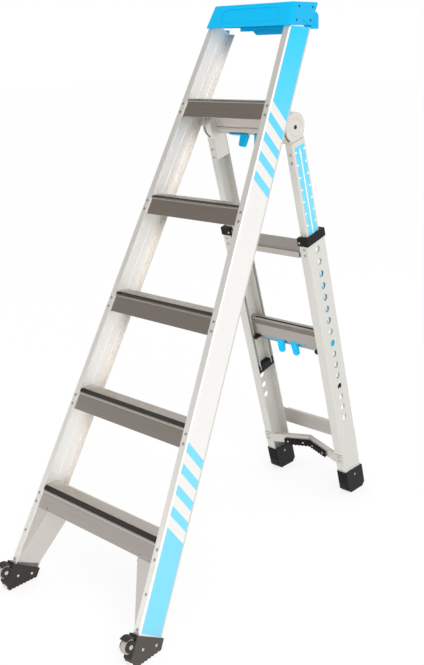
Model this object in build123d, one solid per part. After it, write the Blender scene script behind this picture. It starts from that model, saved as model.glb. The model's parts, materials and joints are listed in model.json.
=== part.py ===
from build123d import *
import os
from math import atan, cos, degrees, radians, sin

# Combination ladder. Millimetres, +Z up, +X to the climber's right, +Y to the back.
os.makedirs("parts", exist_ok=True)

# Stance
front_lean = 62.0           # front stile above the floor, degrees
rear_lean = 74.8            # rear stile above the floor, degrees
base_half_width = 276.0     # outer face of a front stile at the floor
flare_per_mm = 0.072        # how much that half width shrinks along the stile
step_count = 5
step_spacing = 300.0        # along the stile
first_step = 300.0          # floor to the lowest tread's upper rivet, along the stile

# Front stiles
stile_depth = 90.0
stile_flange = 22.0
stile_wall = 2.5
stile_inner_corner = 2.5
stile_rib_height = 0.8
stile_rib_width = 12.0
stile_rib_spread = 15.0     # each rib's distance from the middle of the web
stile_end_height = 8.0      # end of the stile above the floor, inside the foot

# Treads
tread_top = 64.0            # level standing depth
tread_rise = 12.2           # nosing above the upper rivet, along the stile
tread_front_height = 50.0
tread_back_height = 38.0
tread_wall = 2.0
tread_roll = 38.0           # fall of the rear edge, degrees
tread_end_gap = 3.0         # tread end to the stile's web
tread_rib_count = 8
tread_rib_width = 1.6
tread_rib_height = 0.9
tread_rib_margin = 4.0
strip_width = 22.0
strip_height = 1.0
strip_setback = 2.5

# Rivets and screws
rivet_radius = 4.2
rivet_crown = 2.4
rivet_height = 1.5
rivet_inset = 11.6          # rivet line to the stile's outer face
rivet_drop = 25.8           # between the two rivets of a tread's front wall
rear_rivet_upper = 14.0     # rear rivets from the nosing, along the stile
rear_rivet_lower = -6.0

# Knee braces
brace_wall = 2.0
brace_reach = 73.0          # inner top corner to the stile's outer face
brace_foot_reach = 22.0     # inner bottom corner to the stile's outer face
brace_bottom = 92.0         # along the stile
brace_web_gap = 1.0
brace_tread_gap = 0.5
brace_tab_width = 26.0
brace_tab_rise = 15.0
brace_tab_lap = 12.0
brace_rivets = (114.0, 202.0)   # below the lowest tread's upper rivet
brace_rivet_inset = 9.0
brace_rivet_rise = 6.0

# Front feet and wheels
foot_wall = 4.0
foot_front = 10.0           # boot's front face ahead of the stile
foot_top_front = 88.0       # along the stile
foot_top_back = 80.0
foot_toe_depth = 12.0       # toe of the sole behind the front plane
foot_chamfer_top = 26.0     # start of the toe's slope, along the stile
sole_tooth_pitch = 12.0
sole_groove_width = 5.0
sole_groove_depth = 2.0
fit_gap = 0.2               # between parts that are fixed together
wheel_radius = 20.5
wheel_width = 16.0
wheel_edge = 2.5
wheel_ahead = 22.5          # wheel centre in front of the stile
wheel_height = 59.5         # wheel centre along the stile
wheel_room = 2.0            # wheel's rim to its fender
wheel_side_gap = 1.0        # wheel to each cheek of the fork
wheel_hub_radius = 10.0
wheel_dish = 2.5
fork_radius = 16.0
fork_recess = 2.5           # fork's cheeks behind the boot's faces
fender_wall = 3.0
fender_low = 13.0           # fender's lower edge above the wheel centre
axle_radius = 4.0
axle_head_radius = 6.5
axle_head_height = 2.0
running_fit = 0.05
foot_rivets = ((22.0, 53.5), (70.0, 63.0))      # depth and height on the outer plate
web_rivets = ((18.0, 107.5), (69.0, 103.0))

# Top cap
cap_top = 1592.0
cap_height = 61.0
cap_side = 4.0              # outside the stiles at its lower edge
cap_draft = 4.5             # how much each end comes in at the top
cap_front = 7.5             # in front of the stiles
cap_back = 107.0            # back of the cap's middle behind the front plane
cheek_back = 92.4           # back of its ends, clear of the straightened rear section
cap_wall = 4.0
cap_corner = 8.0
cap_round = 5.0
stile_lap = 28.0            # stile's end above the cap's lower edge
fascia_inset = 40.0         # fascia panel from the cap's ends
fascia_height = 42.0
fascia_round = 20.0
fascia_depth = 1.5
tray_inset = 36.0           # tray from the cap's ends
tray_margin = 18.0          # tray from the cap's front and back
tray_round = 14.0
tray_depth = 3.0
ledge_inset = 15.0          # ledge from the cap's ends
ledge_reach = 35.0          # behind the cap's back
ledge_drop = 10.0           # below the cap's lower edge
ledge_height = 45.0
ledge_chamfer = 8.0
notch_length = 26.0
notch_height = 13.0
notch_depth = 1.2
notch_place = (56.0, 4.0)      # depth, and rise above the cap's lower edge
cap_screws = ((17.0, 49.0), (78.0, 47.0), (17.0, 13.0), (79.0, 12.0))   # depth and rise, as above
screw_radius = 3.4
screw_crown = 2.6
screw_height = 1.2

# Wall rest under the ledge
rest_half = 99.0
rest_drop = 11.5
rest_wall = 14.0
rest_vee = 20.0             # how far the vee goes in
rest_slant = 12.0           # length of its slanted lower corners
rest_tooth_count = 4        # on each side of the middle
rest_tooth_radius = 9.0
rest_tooth_depth = 3.5
rest_bolt_radius = 4.5
rest_bolt_height = 4.0
rest_bolt_inset = 9.0       # from the ledge's ends
rest_bolt_rise = 9.0

# Hinges
hinge_height = 1500.0       # pivot along the front stile
hinge_depth = 139.0         # pivot behind the front plane
bracket_wall = 3.0
bracket_half_height = 29.0
bracket_inset = 21.0        # bracket's inner face to the stile's outer face
bracket_width = 17.0
bracket_rivet_place = 20.0
ear_wall = 6.0
ear_radius = 31.0
ear_half_height = 24.0
head_radius = 42.0
head_inset = 9.5            # head's outer face to the stile's outer face
head_width = 32.5
head_slot_gap = 0.5         # each side of the ear
head_slot_end = 33.0        # below the pivot
head_neck = 39.0            # below the pivot
head_ring_radius = 27.0
head_ring_width = 2.0
head_ring_depth = 0.8
tongue_end = 105.0          # below the pivot
tongue_inset = 24.5         # tongue's inner face to the inner stile's outer face
tongue_gap = 0.3
pivot_radius = 6.0
pivot_head_radius = 9.0
pivot_head_height = 2.0

# Rear stiles
inner_inset = 6.5           # outer face of an inner stile to the front stile's at the hinge
inner_half_depth = 30.0
inner_flange = 25.0
inner_wall = 2.3
inner_end = 872.0           # below the pivot
outer_step = 6.7            # outer face of an outer stile past the inner one's
outer_half_depth = 43.5
outer_flange = 32.0
outer_wall = 2.5
rear_inner_corner = 1.5
outer_top = 331.0           # below the pivot
outer_end_height = 20.0     # end of the stile above the floor, inside the foot
hole_count = 16
hole_first = 379.0          # below the pivot
hole_pitch = 41.2
hole_radius = 10.75
pin_hole = 8                # holes above the one that holds the pin

# Rungs of the inner half
tube_radius = 15.5
tube_wall = 2.5
hinge_pin_drop = 13.0       # hinge lock below the pivot
rung_plate_front = 12.0
rung_plate_back = 4.0
rung_plate_top = 28.0       # above the pivot
rung_wall = 2.2
rung_box_front = 26.0
rung_box_back = 14.0
rung_box_height = 51.0
rung_nose = 10.0            # bevel along the step's front edge
rung_strip_width = 18.0
rung_strip_height = 1.2

# Locks
slide_pin_radius = 9.6
slide_pin_bore = 0.4
slide_pin_rise = 27.0       # slide lock's pins above their tube's middle
hinge_pin_radius = 3.8
hinge_pin_bore = 0.4
pin_inner = 18.0
pin_tip_gap = 0.3           # tip of a pin from what it locks into
lever_inner = 14.0
lever_outer = 82.0
lever_plate = 3.0
lever_half_width = 9.0
paddle_inner = 14.0         # at the plate
paddle_tip = 20.0           # inner side at the tip
paddle_outer = 40.0
paddle_front = 5.0
paddle_back = 9.0
paddle_round = 7.0
hinge_paddle_drop = 33.0
hinge_lever_turn = 32.0     # forward from straight below the tube, degrees
slide_paddle_drop = 47.0
slide_paddle_depth = 11.0
slide_lever_back = 12.5     # lever's back ahead of the tube's middle
stem_inner = 22.0
stem_half_width = 3.2
stem_width = 12.0
slot_gap = 0.8
lock_out = 4.0              # travel into the hole
lock_in = 10.0              # travel when squeezed

# Glides, guides and bumpers
glide_length = 26.0
glide_lap = 16.0            # over the inner stile's end
slide_gap = 0.5
guide_height = 26.0
guide_lap = 21.0            # over the outer stile's end
guide_wall = 2.0
guide_width = 36.0          # along the front, from the outer stile's outer face
guide_screw_inset = 29.0    # screw from the outer stile's outer face
bumper_radius = 9.0
bumper_tip = 8.0
bumper_front = 37.0         # tip ahead of the lock tube's middle
bumper_rise = 3.5           # above the lock tube's middle
bumper_room = 1.0           # to the outer stile's flange

# Rungs and bars of the outer half
top_rung_gap = 5.2          # to the outer stiles' flanges
top_rung_upper = 334.0      # below the pivot
top_rung_step = 372.0
top_rung_lower = 391.0
top_rung_wall = 2.5
top_rung_proud = 5.0
top_rung_back = 33.0
top_rung_tab_top = 355.0
top_rung_tab_inset = 6.2    # tab's end to the outer stile's outer face
brace_bar_rise = 230.0      # its top above the stile's floor end, along the stile
brace_bar_height = 62.0
brace_bar_wall = 2.5
brace_bar_lip = 8.0
brace_bar_inset = 3.2       # bar's end to the outer stile's outer face
brace_bar_tab = 46.0        # length of its lipless ends
bar_rise = 174.0            # its top above the stile's floor end, along the stile
bar_height = 34.0
bar_wall = 3.0
bar_lip = 10.0
bar_lip_gap = 10.0          # lip's end to the outer stile's flange
bar_bend_gap = 3.2          # bend to the outer stile's flange
bar_inset = 2.2             # bar's end to the outer stile's outer face
bar_vertex = 2.0            # offset of the vertex in front of the hole line
bar_rivets = (9.0, 25.0)    # below the bar's top edge
brace_bar_rivets = (17.0, 41.0)     # below the brace's top edge
pad_gap = 50.0              # pad's end to the outer stile's flange
pad_wall = 8.0
pad_drop = 14.0             # below the bar's top edge
pad_height = 24.0
pad_tooth_count = 7
pad_tooth_radius = 3.2
pad_screw_drop = 10.0       # below the pad's top
pad_screws = (12.0, 66.0)   # from the pad's ends

# Rear feet
boot_wall = 4.0
boot_height = 86.0          # level top above the floor
boot_ridge_count = 6
boot_ridge_height = 1.6
boot_ridge_width = 5.0
boot_ridge_pitch = 9.0
boot_chamfer = 15.0         # along the sole's front and back edges
boot_corner = 5.0           # down the front corners
boot_rivet_rise = 66.8      # above the stile's floor end, along the stile

# Worked out from the sizes above
MIN, MID, MAX = Align.MIN, Align.CENTER, Align.MAX
FAR = 4 * step_count * step_spacing
lean = radians(front_lean)
rear = radians(rear_lean)
flare = degrees(atan(flare_per_mm))
folded_turn = 180.0 - front_lean - rear_lean
front = Rot(front_lean - 90, 0, 0)
right_stile = front * Pos(base_half_width, 0, 0) * Rot(0, -flare, 0)


def front_point(depth, height):
    """World y and z of a place behind the front plane, up along the stile."""
    return depth * sin(lean) + height * cos(lean), height * sin(lean) - depth * cos(lean)


def front_level(depth, z):
    """World y of a place behind the front plane at a level."""
    return (depth + z * cos(lean)) / sin(lean)


def half_width(height):
    """Outer half width of the front section at a height along the stile."""
    return base_half_width - flare_per_mm * height


def stile_height(depth, level):
    """Height along the stile of a place behind the front plane at a level."""
    return front_level(depth, level) * cos(lean) + level * sin(lean)


pivot_y, pivot_z = front_point(hinge_depth, hinge_height)
rear_frame = Pos(0, pivot_y, pivot_z) * Rot(90 - rear_lean, 0, 0)
rear_length = pivot_z / sin(rear)
rear_cut = rear_length + 2 * outer_half_depth
pin_drop = hole_first + pin_hole * hole_pitch
tube_drop = pin_drop + slide_pin_rise
box_rise = tube_radius - tube_wall
stem_travel = (stem_inner - lock_in - slot_gap, stem_inner + stem_width + lock_out + slot_gap)
foot_sides = (-stile_flange - fit_gap - foot_wall, foot_wall)
foot_middle = sum(foot_sides) / 2
cap_bottom = cap_top - cap_height
stile_top = (cap_bottom + stile_lap) / sin(lean)
cap_end = half_width(cap_top / sin(lean))
cap_edge = front_level(cap_back, cap_bottom)
ledge_half = cap_end - ledge_inset
ledge_edge = cap_edge + ledge_reach
ledge_bottom = cap_bottom - ledge_drop
bracket_inner = half_width(hinge_height) - bracket_inset
head_outer = half_width(hinge_height) - head_inset
head_inner = head_outer - head_width
inner_outside = half_width(hinge_height) - inner_inset
outer_outside = inner_outside + outer_step
flange_edge = outer_outside - outer_flange
bar_bend = flange_edge - bar_bend_gap
bar_top = rear_length - bar_rise
brace_bar_top = rear_length - brace_bar_rise
pad_half = flange_edge - pad_gap
boot_rivet_drop = rear_length - boot_rivet_rise
steps = [first_step + number * step_spacing for number in range(step_count)]


def below(level):
    """Everything under a level."""
    return Pos(0, 0, level) * Box(FAR, FAR, FAR, align=(MID, MID, MAX))


def across(points, start, end):
    """A closed outline in y and z, carried along x from start to end."""
    outline = make_face(Polyline(*points, close=True))
    return Pos(start, 0, 0) * extrude(Plane.YZ * outline, end - start)


def upright(points, start, end):
    """A closed outline in x and z, carried along y from start to end."""
    outline = make_face(Polyline(*points, close=True))
    return Pos(0, end, 0) * extrude(Plane.XZ * outline, end - start)


def plan(points, low, high):
    """A closed outline in x and y, carried up from low to high."""
    return Pos(0, 0, low) * extrude(make_face(Polyline(*points, close=True)), high - low)


def block(x, y, z):
    """A box between three pairs of limits."""
    corner = Pos(x[0], y[0], z[0])
    return corner * Box(x[1] - x[0], y[1] - y[0], z[1] - z[0], align=(MIN, MIN, MIN))


def rod(radius, start, end):
    """A round bar along x."""
    return Pos(start, 0, 0) * Rot(0, 90, 0) * Cylinder(radius, end - start, align=(MID, MID, MIN))


def mirrored(shape):
    """The left-hand copy of a right-hand piece."""
    return mirror(shape, about=Plane.YZ)


def group(shapes):
    """Separate solids as one node."""
    return Compound([solid for shape in shapes for solid in shape.solids()])


def pair(shapes):
    """Right-hand solids with their left-hand copies, as one group."""
    return group(shapes + [mirrored(shape) for shape in shapes])


def rivet():
    """A rivet head that stands up along z."""
    return Cone(rivet_radius, rivet_crown, rivet_height, align=(MID, MID, MIN))


def screw():
    """A small screw head that stands up along z."""
    return Cone(screw_radius, screw_crown, screw_height, align=(MID, MID, MIN))


def channel(depth, flange, wall, corner):
    """Section of a C-channel, web at x = 0 and flanges towards -x."""
    outside = Rectangle(flange, depth, align=(MAX, MIN))
    outside = fillet(outside.vertices().sort_by(Axis.X)[-2:], corner + wall)
    inside = Pos(-wall, wall) * Rectangle(flange, depth - 2 * wall, align=(MAX, MIN))
    inside = fillet(inside.vertices().sort_by(Axis.X)[-2:], corner)
    return outside - inside


def envelope(inset):
    """The space between the front stiles' outer faces, less an inset."""
    top = 2 * first_step + step_count * step_spacing
    low = base_half_width - inset
    high = half_width(top) - inset
    points = [(-low, 0), (low, 0), (high, top), (-high, top)]
    return front * upright(points, -FAR, FAR)


def front_stile():
    """Right front stile, flared, with two flat ribs inside its web."""
    section = channel(stile_depth, stile_flange, stile_wall, stile_inner_corner)
    for side in (-1, 1):
        place = Pos(-stile_wall, stile_depth / 2 + side * stile_rib_spread)
        section += place * Rectangle(stile_rib_height, stile_rib_width, align=(MAX, MID))
    return right_stile * extrude(section, stile_top) - below(stile_end_height)


def nosing(step):
    """World place of a tread's front top edge."""
    return Pos(0, *front_point(stile_wall, step + tread_rise))


def tread_section():
    """Level top, leaning walls, and a rear edge that rolls down to the back flange."""
    roll = radians(tread_roll)
    room = stile_depth - 2 * stile_wall - tread_top * sin(lean)
    slope = room / sin(lean + roll)
    back = (tread_top + slope * cos(roll), -slope * sin(roll))
    outline = Polyline(
        (-tread_front_height * cos(lean), -tread_front_height * sin(lean)),
        (0, 0),
        (tread_top, 0),
        back,
        (back[0] - tread_back_height * cos(lean), back[1] - tread_back_height * sin(lean)),
    )
    section = make_face(offset(outline, tread_wall, kind=Kind.INTERSECTION, side=Side.RIGHT))
    start = strip_setback + strip_width + tread_rib_margin
    pitch = (tread_top - tread_rib_margin - start) / (tread_rib_count - 1)
    for number in range(tread_rib_count):
        rib = Rectangle(tread_rib_width, tread_rib_height, align=(MID, MIN))
        section += Pos(start + number * pitch, 0) * rib
    return section


def tread(step):
    """One tread, cut to the flare of the stiles."""
    bar = extrude(Plane.YZ * tread_section(), base_half_width, both=True)
    return nosing(step) * bar & envelope(stile_wall + tread_end_gap)


def grip_strip(step):
    """The strip on a tread's nosing."""
    bar = block((-base_half_width, base_half_width), (strip_setback, strip_setback + strip_width),
                (0, strip_height))
    return nosing(step) * bar & envelope(stile_wall + tread_end_gap)


def front_rivet(inset, height, depth=0.0):
    """A rivet on the front of the right-hand side."""
    return front * Pos(half_width(height) - inset, depth, height) * Rot(90, 0, 0) * rivet()


def back_rivet(inset, height, depth):
    """A rivet on the back of the right-hand side."""
    return front * Pos(half_width(height) - inset, depth, height) * Rot(-90, 0, 0) * rivet()


def tread_rivets():
    """Two rivets at the front and two at the back of each tread's end."""
    heads = []
    for step in steps:
        heads += [front_rivet(rivet_inset, step), front_rivet(rivet_inset, step - rivet_drop)]
        if step < steps[-1]:
            edge = step + tread_rise
            heads += [back_rivet(rivet_inset, edge + rise, stile_depth)
                      for rise in (rear_rivet_upper, rear_rivet_lower)]
    return pair(heads)


def knee_brace():
    """Right brace, a folded sheet from the stile's foot to the lowest tread."""
    top = first_step + tread_rise - tread_front_height - brace_tread_gap
    outer = stile_wall + stile_inner_corner + brace_web_gap
    inner_top = half_width(top) - brace_reach
    inner_bottom = half_width(brace_bottom) - brace_foot_reach
    outline = [(half_width(top) - outer, top), (inner_top, top), (inner_bottom, brace_bottom),
               (half_width(brace_bottom) - outer, brace_bottom)]
    face, back = stile_wall, stile_depth - stile_wall
    sheet = upright(outline, face, back)
    run = top * (inner_top - inner_bottom) / (top - brace_bottom)
    hollow = [(FAR, 2 * top), (inner_top + run + brace_wall, 2 * top),
              (inner_bottom - run + brace_wall, brace_bottom - top), (FAR, brace_bottom - top)]
    sheet -= upright(hollow, face + brace_wall, back - brace_wall)
    tab_face = face + tread_wall
    tab = block((inner_top, inner_top + brace_tab_width), (tab_face, tab_face + brace_wall),
                (top - brace_tab_lap, top + brace_tab_rise))
    return front * (sheet + tab)


def knee_brace_rivets():
    """Rivets through the stile's flanges and the lowest tread's front wall."""
    heads = [front_rivet(rivet_inset, first_step - drop) for drop in brace_rivets]
    heads += [back_rivet(rivet_inset, first_step - drop, stile_depth) for drop in brace_rivets]
    low = first_step + tread_rise - tread_front_height + brace_rivet_rise
    heads.append(front_rivet(brace_reach - brace_rivet_inset, low, stile_wall))
    return pair(heads)


def wheel_place():
    """The right wheel's centre in the right stile's frame."""
    return right_stile * Pos(foot_middle, -wheel_ahead, wheel_height)


def front_foot():
    """Right boot with a level ribbed sole, a fork for the wheel and a fender over it."""
    toe = foot_toe_depth * cos(lean) / sin(lean)
    back = stile_depth + foot_wall
    side = [(-foot_front, foot_top_front), (-foot_front, foot_chamfer_top), (foot_toe_depth, toe),
            (back, back * cos(lean) / sin(lean) - foot_wall), (back, foot_top_back)]
    body = across(side, *foot_sides)
    centre = Pos(-wheel_ahead, wheel_height)
    cheek = Circle(fork_radius) + Rectangle(wheel_ahead, 2 * fork_radius, align=(MIN, MID))
    inside = wheel_radius + wheel_room
    fender = Circle(inside + fender_wall) - Circle(inside)
    fender &= Pos(0, fender_low) * Rectangle(2 * FAR, FAR, align=(MID, MIN))
    fork_sides = (foot_sides[0] + fork_recess, foot_sides[1] - fork_recess)
    fork = extrude(Plane.YZ * (centre * (cheek + fender)), fork_sides[1] - fork_sides[0])
    body += Pos(fork_sides[0], 0, 0) * fork
    slot = wheel_width / 2 + wheel_side_gap
    body -= Pos(0, -wheel_ahead, wheel_height) * rod(inside, foot_middle - slot, foot_middle + slot)
    body -= Pos(0, -wheel_ahead, wheel_height) * rod(axle_radius + fit_gap, *foot_sides)
    foot = right_stile * body - below(0)
    pocket = block((-stile_flange - fit_gap, fit_gap), (-fit_gap, stile_depth + fit_gap), (-FAR, FAR))
    foot -= right_stile * pocket - below(stile_end_height)
    length = front_point(back, back * cos(lean) / sin(lean))[0]
    for number in range(1, int(length / sole_tooth_pitch)):
        groove = Box(base_half_width, sole_groove_width, 2 * sole_groove_depth)
        foot -= Pos(base_half_width, number * sole_tooth_pitch + foot_toe_depth, 0) * groove
    return foot


def wheel():
    """Right wheel: a tyre with sloped edges, dished faces and a hub."""
    bore = axle_radius + running_fit
    rim = wheel_radius - 2 * wheel_edge
    half = wheel_width / 2
    side = [(bore, half), (wheel_hub_radius, half), (wheel_hub_radius, half - wheel_dish),
            (rim, half - wheel_dish), (rim, half), (wheel_radius - wheel_edge, half),
            (wheel_radius, half - wheel_edge)]
    section = make_face(Polyline(*side, *[(radius, -x) for radius, x in reversed(side)], close=True))
    return wheel_place() * Rot(0, 90, 0) * revolve(Plane.XZ * section, Axis.Z)


def wheel_axle():
    """Right wheel's axle bolt with a head at each end."""
    half = (foot_sides[1] - foot_sides[0]) / 2 - fork_recess
    bar = rod(axle_radius, -half, half)
    for side in (-1, 1):
        bar += rod(axle_head_radius, *sorted((side * half, side * (half + axle_head_height))))
    return wheel_place() * bar


def foot_rivets_group():
    """Rivets through the feet, and through the webs above them."""
    inside, outside = foot_sides
    heads = [right_stile * Pos(outside, depth, height) * Rot(0, 90, 0) * rivet()
             for depth, height in foot_rivets]
    heads += [right_stile * Pos(inside, depth, height) * Rot(0, -90, 0) * rivet()
              for depth, height in foot_rivets]
    heads += [right_stile * Pos(0, depth, height) * Rot(0, 90, 0) * rivet() for depth, height in web_rivets]
    return pair(heads)


def cap_side_view(front_depth, back_depth, low, high):
    """Side view between two depths and two levels, leaning with the stiles."""
    return [(front_level(front_depth, low), low), (front_level(front_depth, high), high),
            (front_level(back_depth, high), high), (front_level(back_depth, low), low)]


def cap_ends():
    """The space between the cap's end faces, which come in towards the top."""
    low, high = stile_height(0, cap_bottom), stile_height(0, cap_top)
    half = half_width(low) + cap_side
    slope = flare_per_mm + cap_draft / (high - low)
    points = [(half + slope * low, 0), (half - slope * low, 2 * low)]
    points += [(-x, z) for x, z in reversed(points)]
    return front * upright(points, -FAR, FAR)


def cap_place(depth, rise):
    """A place on the right end face of the cap, its z axis straight out."""
    low, high = stile_height(0, cap_bottom), stile_height(0, cap_top)
    height = stile_height(depth, cap_bottom + rise)
    slope = flare_per_mm + cap_draft / (high - low)
    x = half_width(low) + cap_side - slope * (height - low)
    return front * Pos(x, depth, height) * Rot(0, 90 - degrees(atan(slope)), 0)


def cap_shell():
    """Outside of the cap, its corners and its upper edges rounded."""
    outline = cap_side_view(-cap_front, cheek_back, cap_bottom, cap_top)
    shell = across(outline, -base_half_width, base_half_width) & cap_ends()
    corners = shell.edges().filter_by(lambda edge: edge.bounding_box().size.Z > cap_height / 2)
    shell = fillet(corners, cap_corner)
    upper = shell.edges().filter_by(lambda edge: edge.bounding_box().min.Z > cap_top - fit_gap)
    return fillet(upper, cap_round)


def rear_ledge():
    """The cap's deep middle and the ledge behind it that the wall rest hangs from."""
    top = ledge_bottom + ledge_height
    root = cheek_back - cap_round - cap_wall / 2
    shoulder = cap_top - cap_round
    outline = [(cap_edge, cap_bottom), (cap_edge, ledge_bottom), (ledge_edge, ledge_bottom),
               (ledge_edge, top - ledge_chamfer), (ledge_edge - ledge_chamfer, top),
               (front_level(cap_back, top), top), (front_level(cap_back, shoulder), shoulder),
               (front_level(cap_back, cap_top) - cap_round, cap_top), (front_level(root, cap_top), cap_top),
               (front_level(root, cap_bottom), cap_bottom)]
    return across(outline, -ledge_half, ledge_half)


def top_cap():
    """Moulded cap over the stiles' ends, open below, with a tray, a fascia panel and a rear ledge."""
    cap = cap_shell() + rear_ledge()
    cavity_half = half_width(stile_top) - stile_flange - fit_gap - cap_wall
    roof = cap_top - cap_wall - tray_depth
    cavity = cap_side_view(cap_wall - cap_front, cap_back - cap_wall, 0, roof)
    cap -= across(cavity, -cavity_half, cavity_half)
    pocket = block((-stile_flange - fit_gap, fit_gap), (-fit_gap, stile_depth + fit_gap),
                   (0, stile_top + fit_gap))
    pocket = fillet(pocket.edges().filter_by(Axis.Z).group_by(Axis.X)[-1], stile_wall + stile_inner_corner)
    notch = cap_place(*notch_place) * Box(notch_height, notch_length, 2 * notch_depth)
    for hollow in (right_stile * pocket, notch):
        cap -= hollow
        cap -= mirrored(hollow)
    middle = (cap_bottom + cap_top) / 2
    panel = RectangleRounded(2 * (cap_end - fascia_inset), fascia_height, fascia_round)
    panel = Rot(front_lean, 0, 0) * extrude(panel, fascia_depth, both=True)
    cap -= Pos(0, front_level(-cap_front, middle), middle) * panel
    tray_width = (cap_front + cap_back) / sin(lean) - 2 * tray_margin
    tray = RectangleRounded(2 * (cap_end - tray_inset), tray_width, tray_round)
    tray_middle = front_level((cap_back - cap_front) / 2, cap_top)
    return cap - Pos(0, tray_middle, cap_top) * extrude(tray, tray_depth, both=True)


def cap_screws_group():
    """Four screws in each cheek of the cap."""
    return pair([cap_place(depth, rise) * screw() for depth, rise in cap_screws])


def vee(half, front_y, vertex_y, wall):
    """Plan of a vee-shaped wall, its vertex at front_y and its ends at vertex_y."""
    return [(-half, vertex_y), (0, front_y), (half, vertex_y), (half, vertex_y - wall), (0, front_y - wall),
            (-half, vertex_y - wall)]


def wall_rest():
    """Vee-shaped rest below the rear ledge, scalloped in front and behind, its lower corners slanted."""
    vertex = ledge_edge - rest_vee
    low = ledge_bottom - rest_drop
    rest = plan(vee(rest_half, vertex, ledge_edge, rest_wall), low, ledge_bottom)
    face = [(rest_half, ledge_bottom), (rest_half - rest_slant, low)]
    face += [(-x, z) for x, z in reversed(face)]
    rest &= upright(face, vertex - rest_wall, ledge_edge)
    tooth = Cylinder(rest_tooth_radius, 2 * rest_drop, align=(MID, MID, MID))
    clear = rest_tooth_radius - rest_tooth_depth
    for number in range(-rest_tooth_count, rest_tooth_count):
        x = rest_half * (number + 0.5) / rest_tooth_count
        back = vertex + rest_vee * abs(x) / rest_half
        rest -= Pos(x, back + clear, low) * tooth
        rest -= Pos(x, back - rest_wall - clear, low) * tooth
    return rest


def wall_rest_bolts():
    """Two bolts on each side at the back of the ledge."""
    levels = (ledge_bottom + rest_bolt_rise, ledge_bottom + ledge_height - ledge_chamfer - rest_bolt_rise)
    heads = []
    for level in levels:
        head = Cylinder(rest_bolt_radius, rest_bolt_height, align=(MID, MID, MIN))
        heads.append(Pos(ledge_half - rest_bolt_inset, ledge_edge, level) * Rot(-90, 0, 0) * head)
    return pair(heads)


def hinge_bracket():
    """Right bracket: a base plate on the stile's back flange and an ear with lock holes."""
    base = block((bracket_inner, bracket_inner + bracket_width), (stile_depth, stile_depth + bracket_wall),
                 (hinge_height - bracket_half_height, hinge_height + bracket_half_height))
    ear = Circle(ear_radius) + Rectangle(hinge_depth - stile_depth, 2 * ear_half_height, align=(MAX, MID))
    ear -= Circle(pivot_radius + running_fit)
    for turn in (0, folded_turn, 180):
        place = Rot(0, 0, turn) * Pos(0, -hinge_pin_drop)
        ear -= place * Circle(hinge_pin_radius + hinge_pin_bore)
    plate = Pos(bracket_inner, hinge_depth, hinge_height) * extrude(Plane.YZ * ear, ear_wall)
    return front * (base + plate)


def bracket_rivets():
    """Rivets through each bracket's base plate."""
    heads = []
    x = bracket_inner + (bracket_width + ear_wall) / 2
    for side in (-1, 1):
        height = hinge_height + side * bracket_rivet_place
        place = Pos(x, stile_depth + bracket_wall, height)
        heads.append(front * place * Rot(-90, 0, 0) * rivet())
    return pair(heads)


def hinge_head():
    """Right cast head: two cheeks round the ear, and a tongue inside the inner stile."""
    neck_half = inner_half_depth - slide_gap
    shape = Circle(head_radius) + Rectangle(2 * neck_half, head_neck, align=(MID, MAX))
    head = Pos(head_inner, 0, 0) * extrude(Plane.YZ * shape, head_outer - head_inner)
    tongue_half = inner_half_depth - inner_wall - tongue_gap
    tongue = (inner_outside - tongue_inset, inner_outside - inner_wall - rear_inner_corner)
    head += block(tongue, (-tongue_half, tongue_half), (-tongue_end, -head_neck))
    head -= block((bracket_inner - head_slot_gap, bracket_inner + ear_wall + head_slot_gap), (-FAR, FAR),
                  (-head_slot_end, FAR))
    head -= rod(pivot_radius, head_inner, head_outer)
    head -= Pos(0, 0, -hinge_pin_drop) * rod(hinge_pin_radius + hinge_pin_bore, head_inner, bracket_inner)
    ring = Circle(head_ring_radius) - Circle(head_ring_radius - head_ring_width)
    head -= Pos(head_outer, 0, 0) * extrude(Plane.YZ * ring, -head_ring_depth)
    return rear_frame * head


def pivot_bolts():
    """A bolt through each head and ear."""
    bolt = rod(pivot_radius, head_inner, head_outer)
    bolt += rod(pivot_head_radius, head_outer, head_outer + pivot_head_height)
    return pair([rear_frame * bolt])


def rear_channel(outside, half_depth, flange, wall, top, bottom):
    """A rear stile's channel between two distances below the pivot."""
    section = Pos(outside, -half_depth) * channel(2 * half_depth, flange, wall, rear_inner_corner)
    return Pos(0, 0, -bottom) * extrude(section, bottom - top)


def inner_stile():
    """Right inner stile with the hole that the slide lock's pin runs in."""
    bar = rear_channel(inner_outside, inner_half_depth, inner_flange, inner_wall, head_neck, inner_end)
    sides = (inner_outside - 2 * inner_wall, inner_outside + inner_wall)
    bore = rod(slide_pin_radius + slide_pin_bore, *sides)
    return rear_frame * (bar - Pos(0, 0, -pin_drop) * bore)


def hinge_slots():
    """The slots in the hinge rung's tube that its levers' stems travel in."""
    half = stem_half_width + slot_gap
    slot = block(stem_travel, (-half, half), (-2 * tube_radius, 0))
    return Pos(0, 0, -hinge_pin_drop) * Rot(-hinge_lever_turn, 0, 0) * (slot + mirrored(slot))


def slide_slots():
    """The slots in the lever rung's box that its levers' stems travel in."""
    sides = (-slide_lever_back - 2 * stem_half_width - slot_gap, -slide_lever_back + slot_gap)
    slot = block(stem_travel, sides, (box_rise - slot_gap, box_rise + rung_wall + slot_gap))
    return slot + mirrored(slot)


def hinge_rung():
    """Tube and flat front between the hinge heads."""
    section = Circle(tube_radius)
    section += Pos(-rung_plate_front, 0) * Rectangle(rung_plate_front + rung_plate_back,
                                                     hinge_pin_drop + rung_plate_top, align=(MIN, MIN))
    hollow = Pos(-rung_plate_front + rung_wall, 0) * Rectangle(
        rung_plate_front + rung_plate_back - 2 * rung_wall,
        hinge_pin_drop + rung_plate_top - rung_wall, align=(MIN, MIN))
    section -= hollow - Circle(tube_radius)
    section -= Circle(tube_radius - tube_wall)
    rung = Pos(0, 0, -hinge_pin_drop) * extrude(Plane.YZ * section, head_inner, both=True)
    return rear_frame * (rung - hinge_slots())


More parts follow.
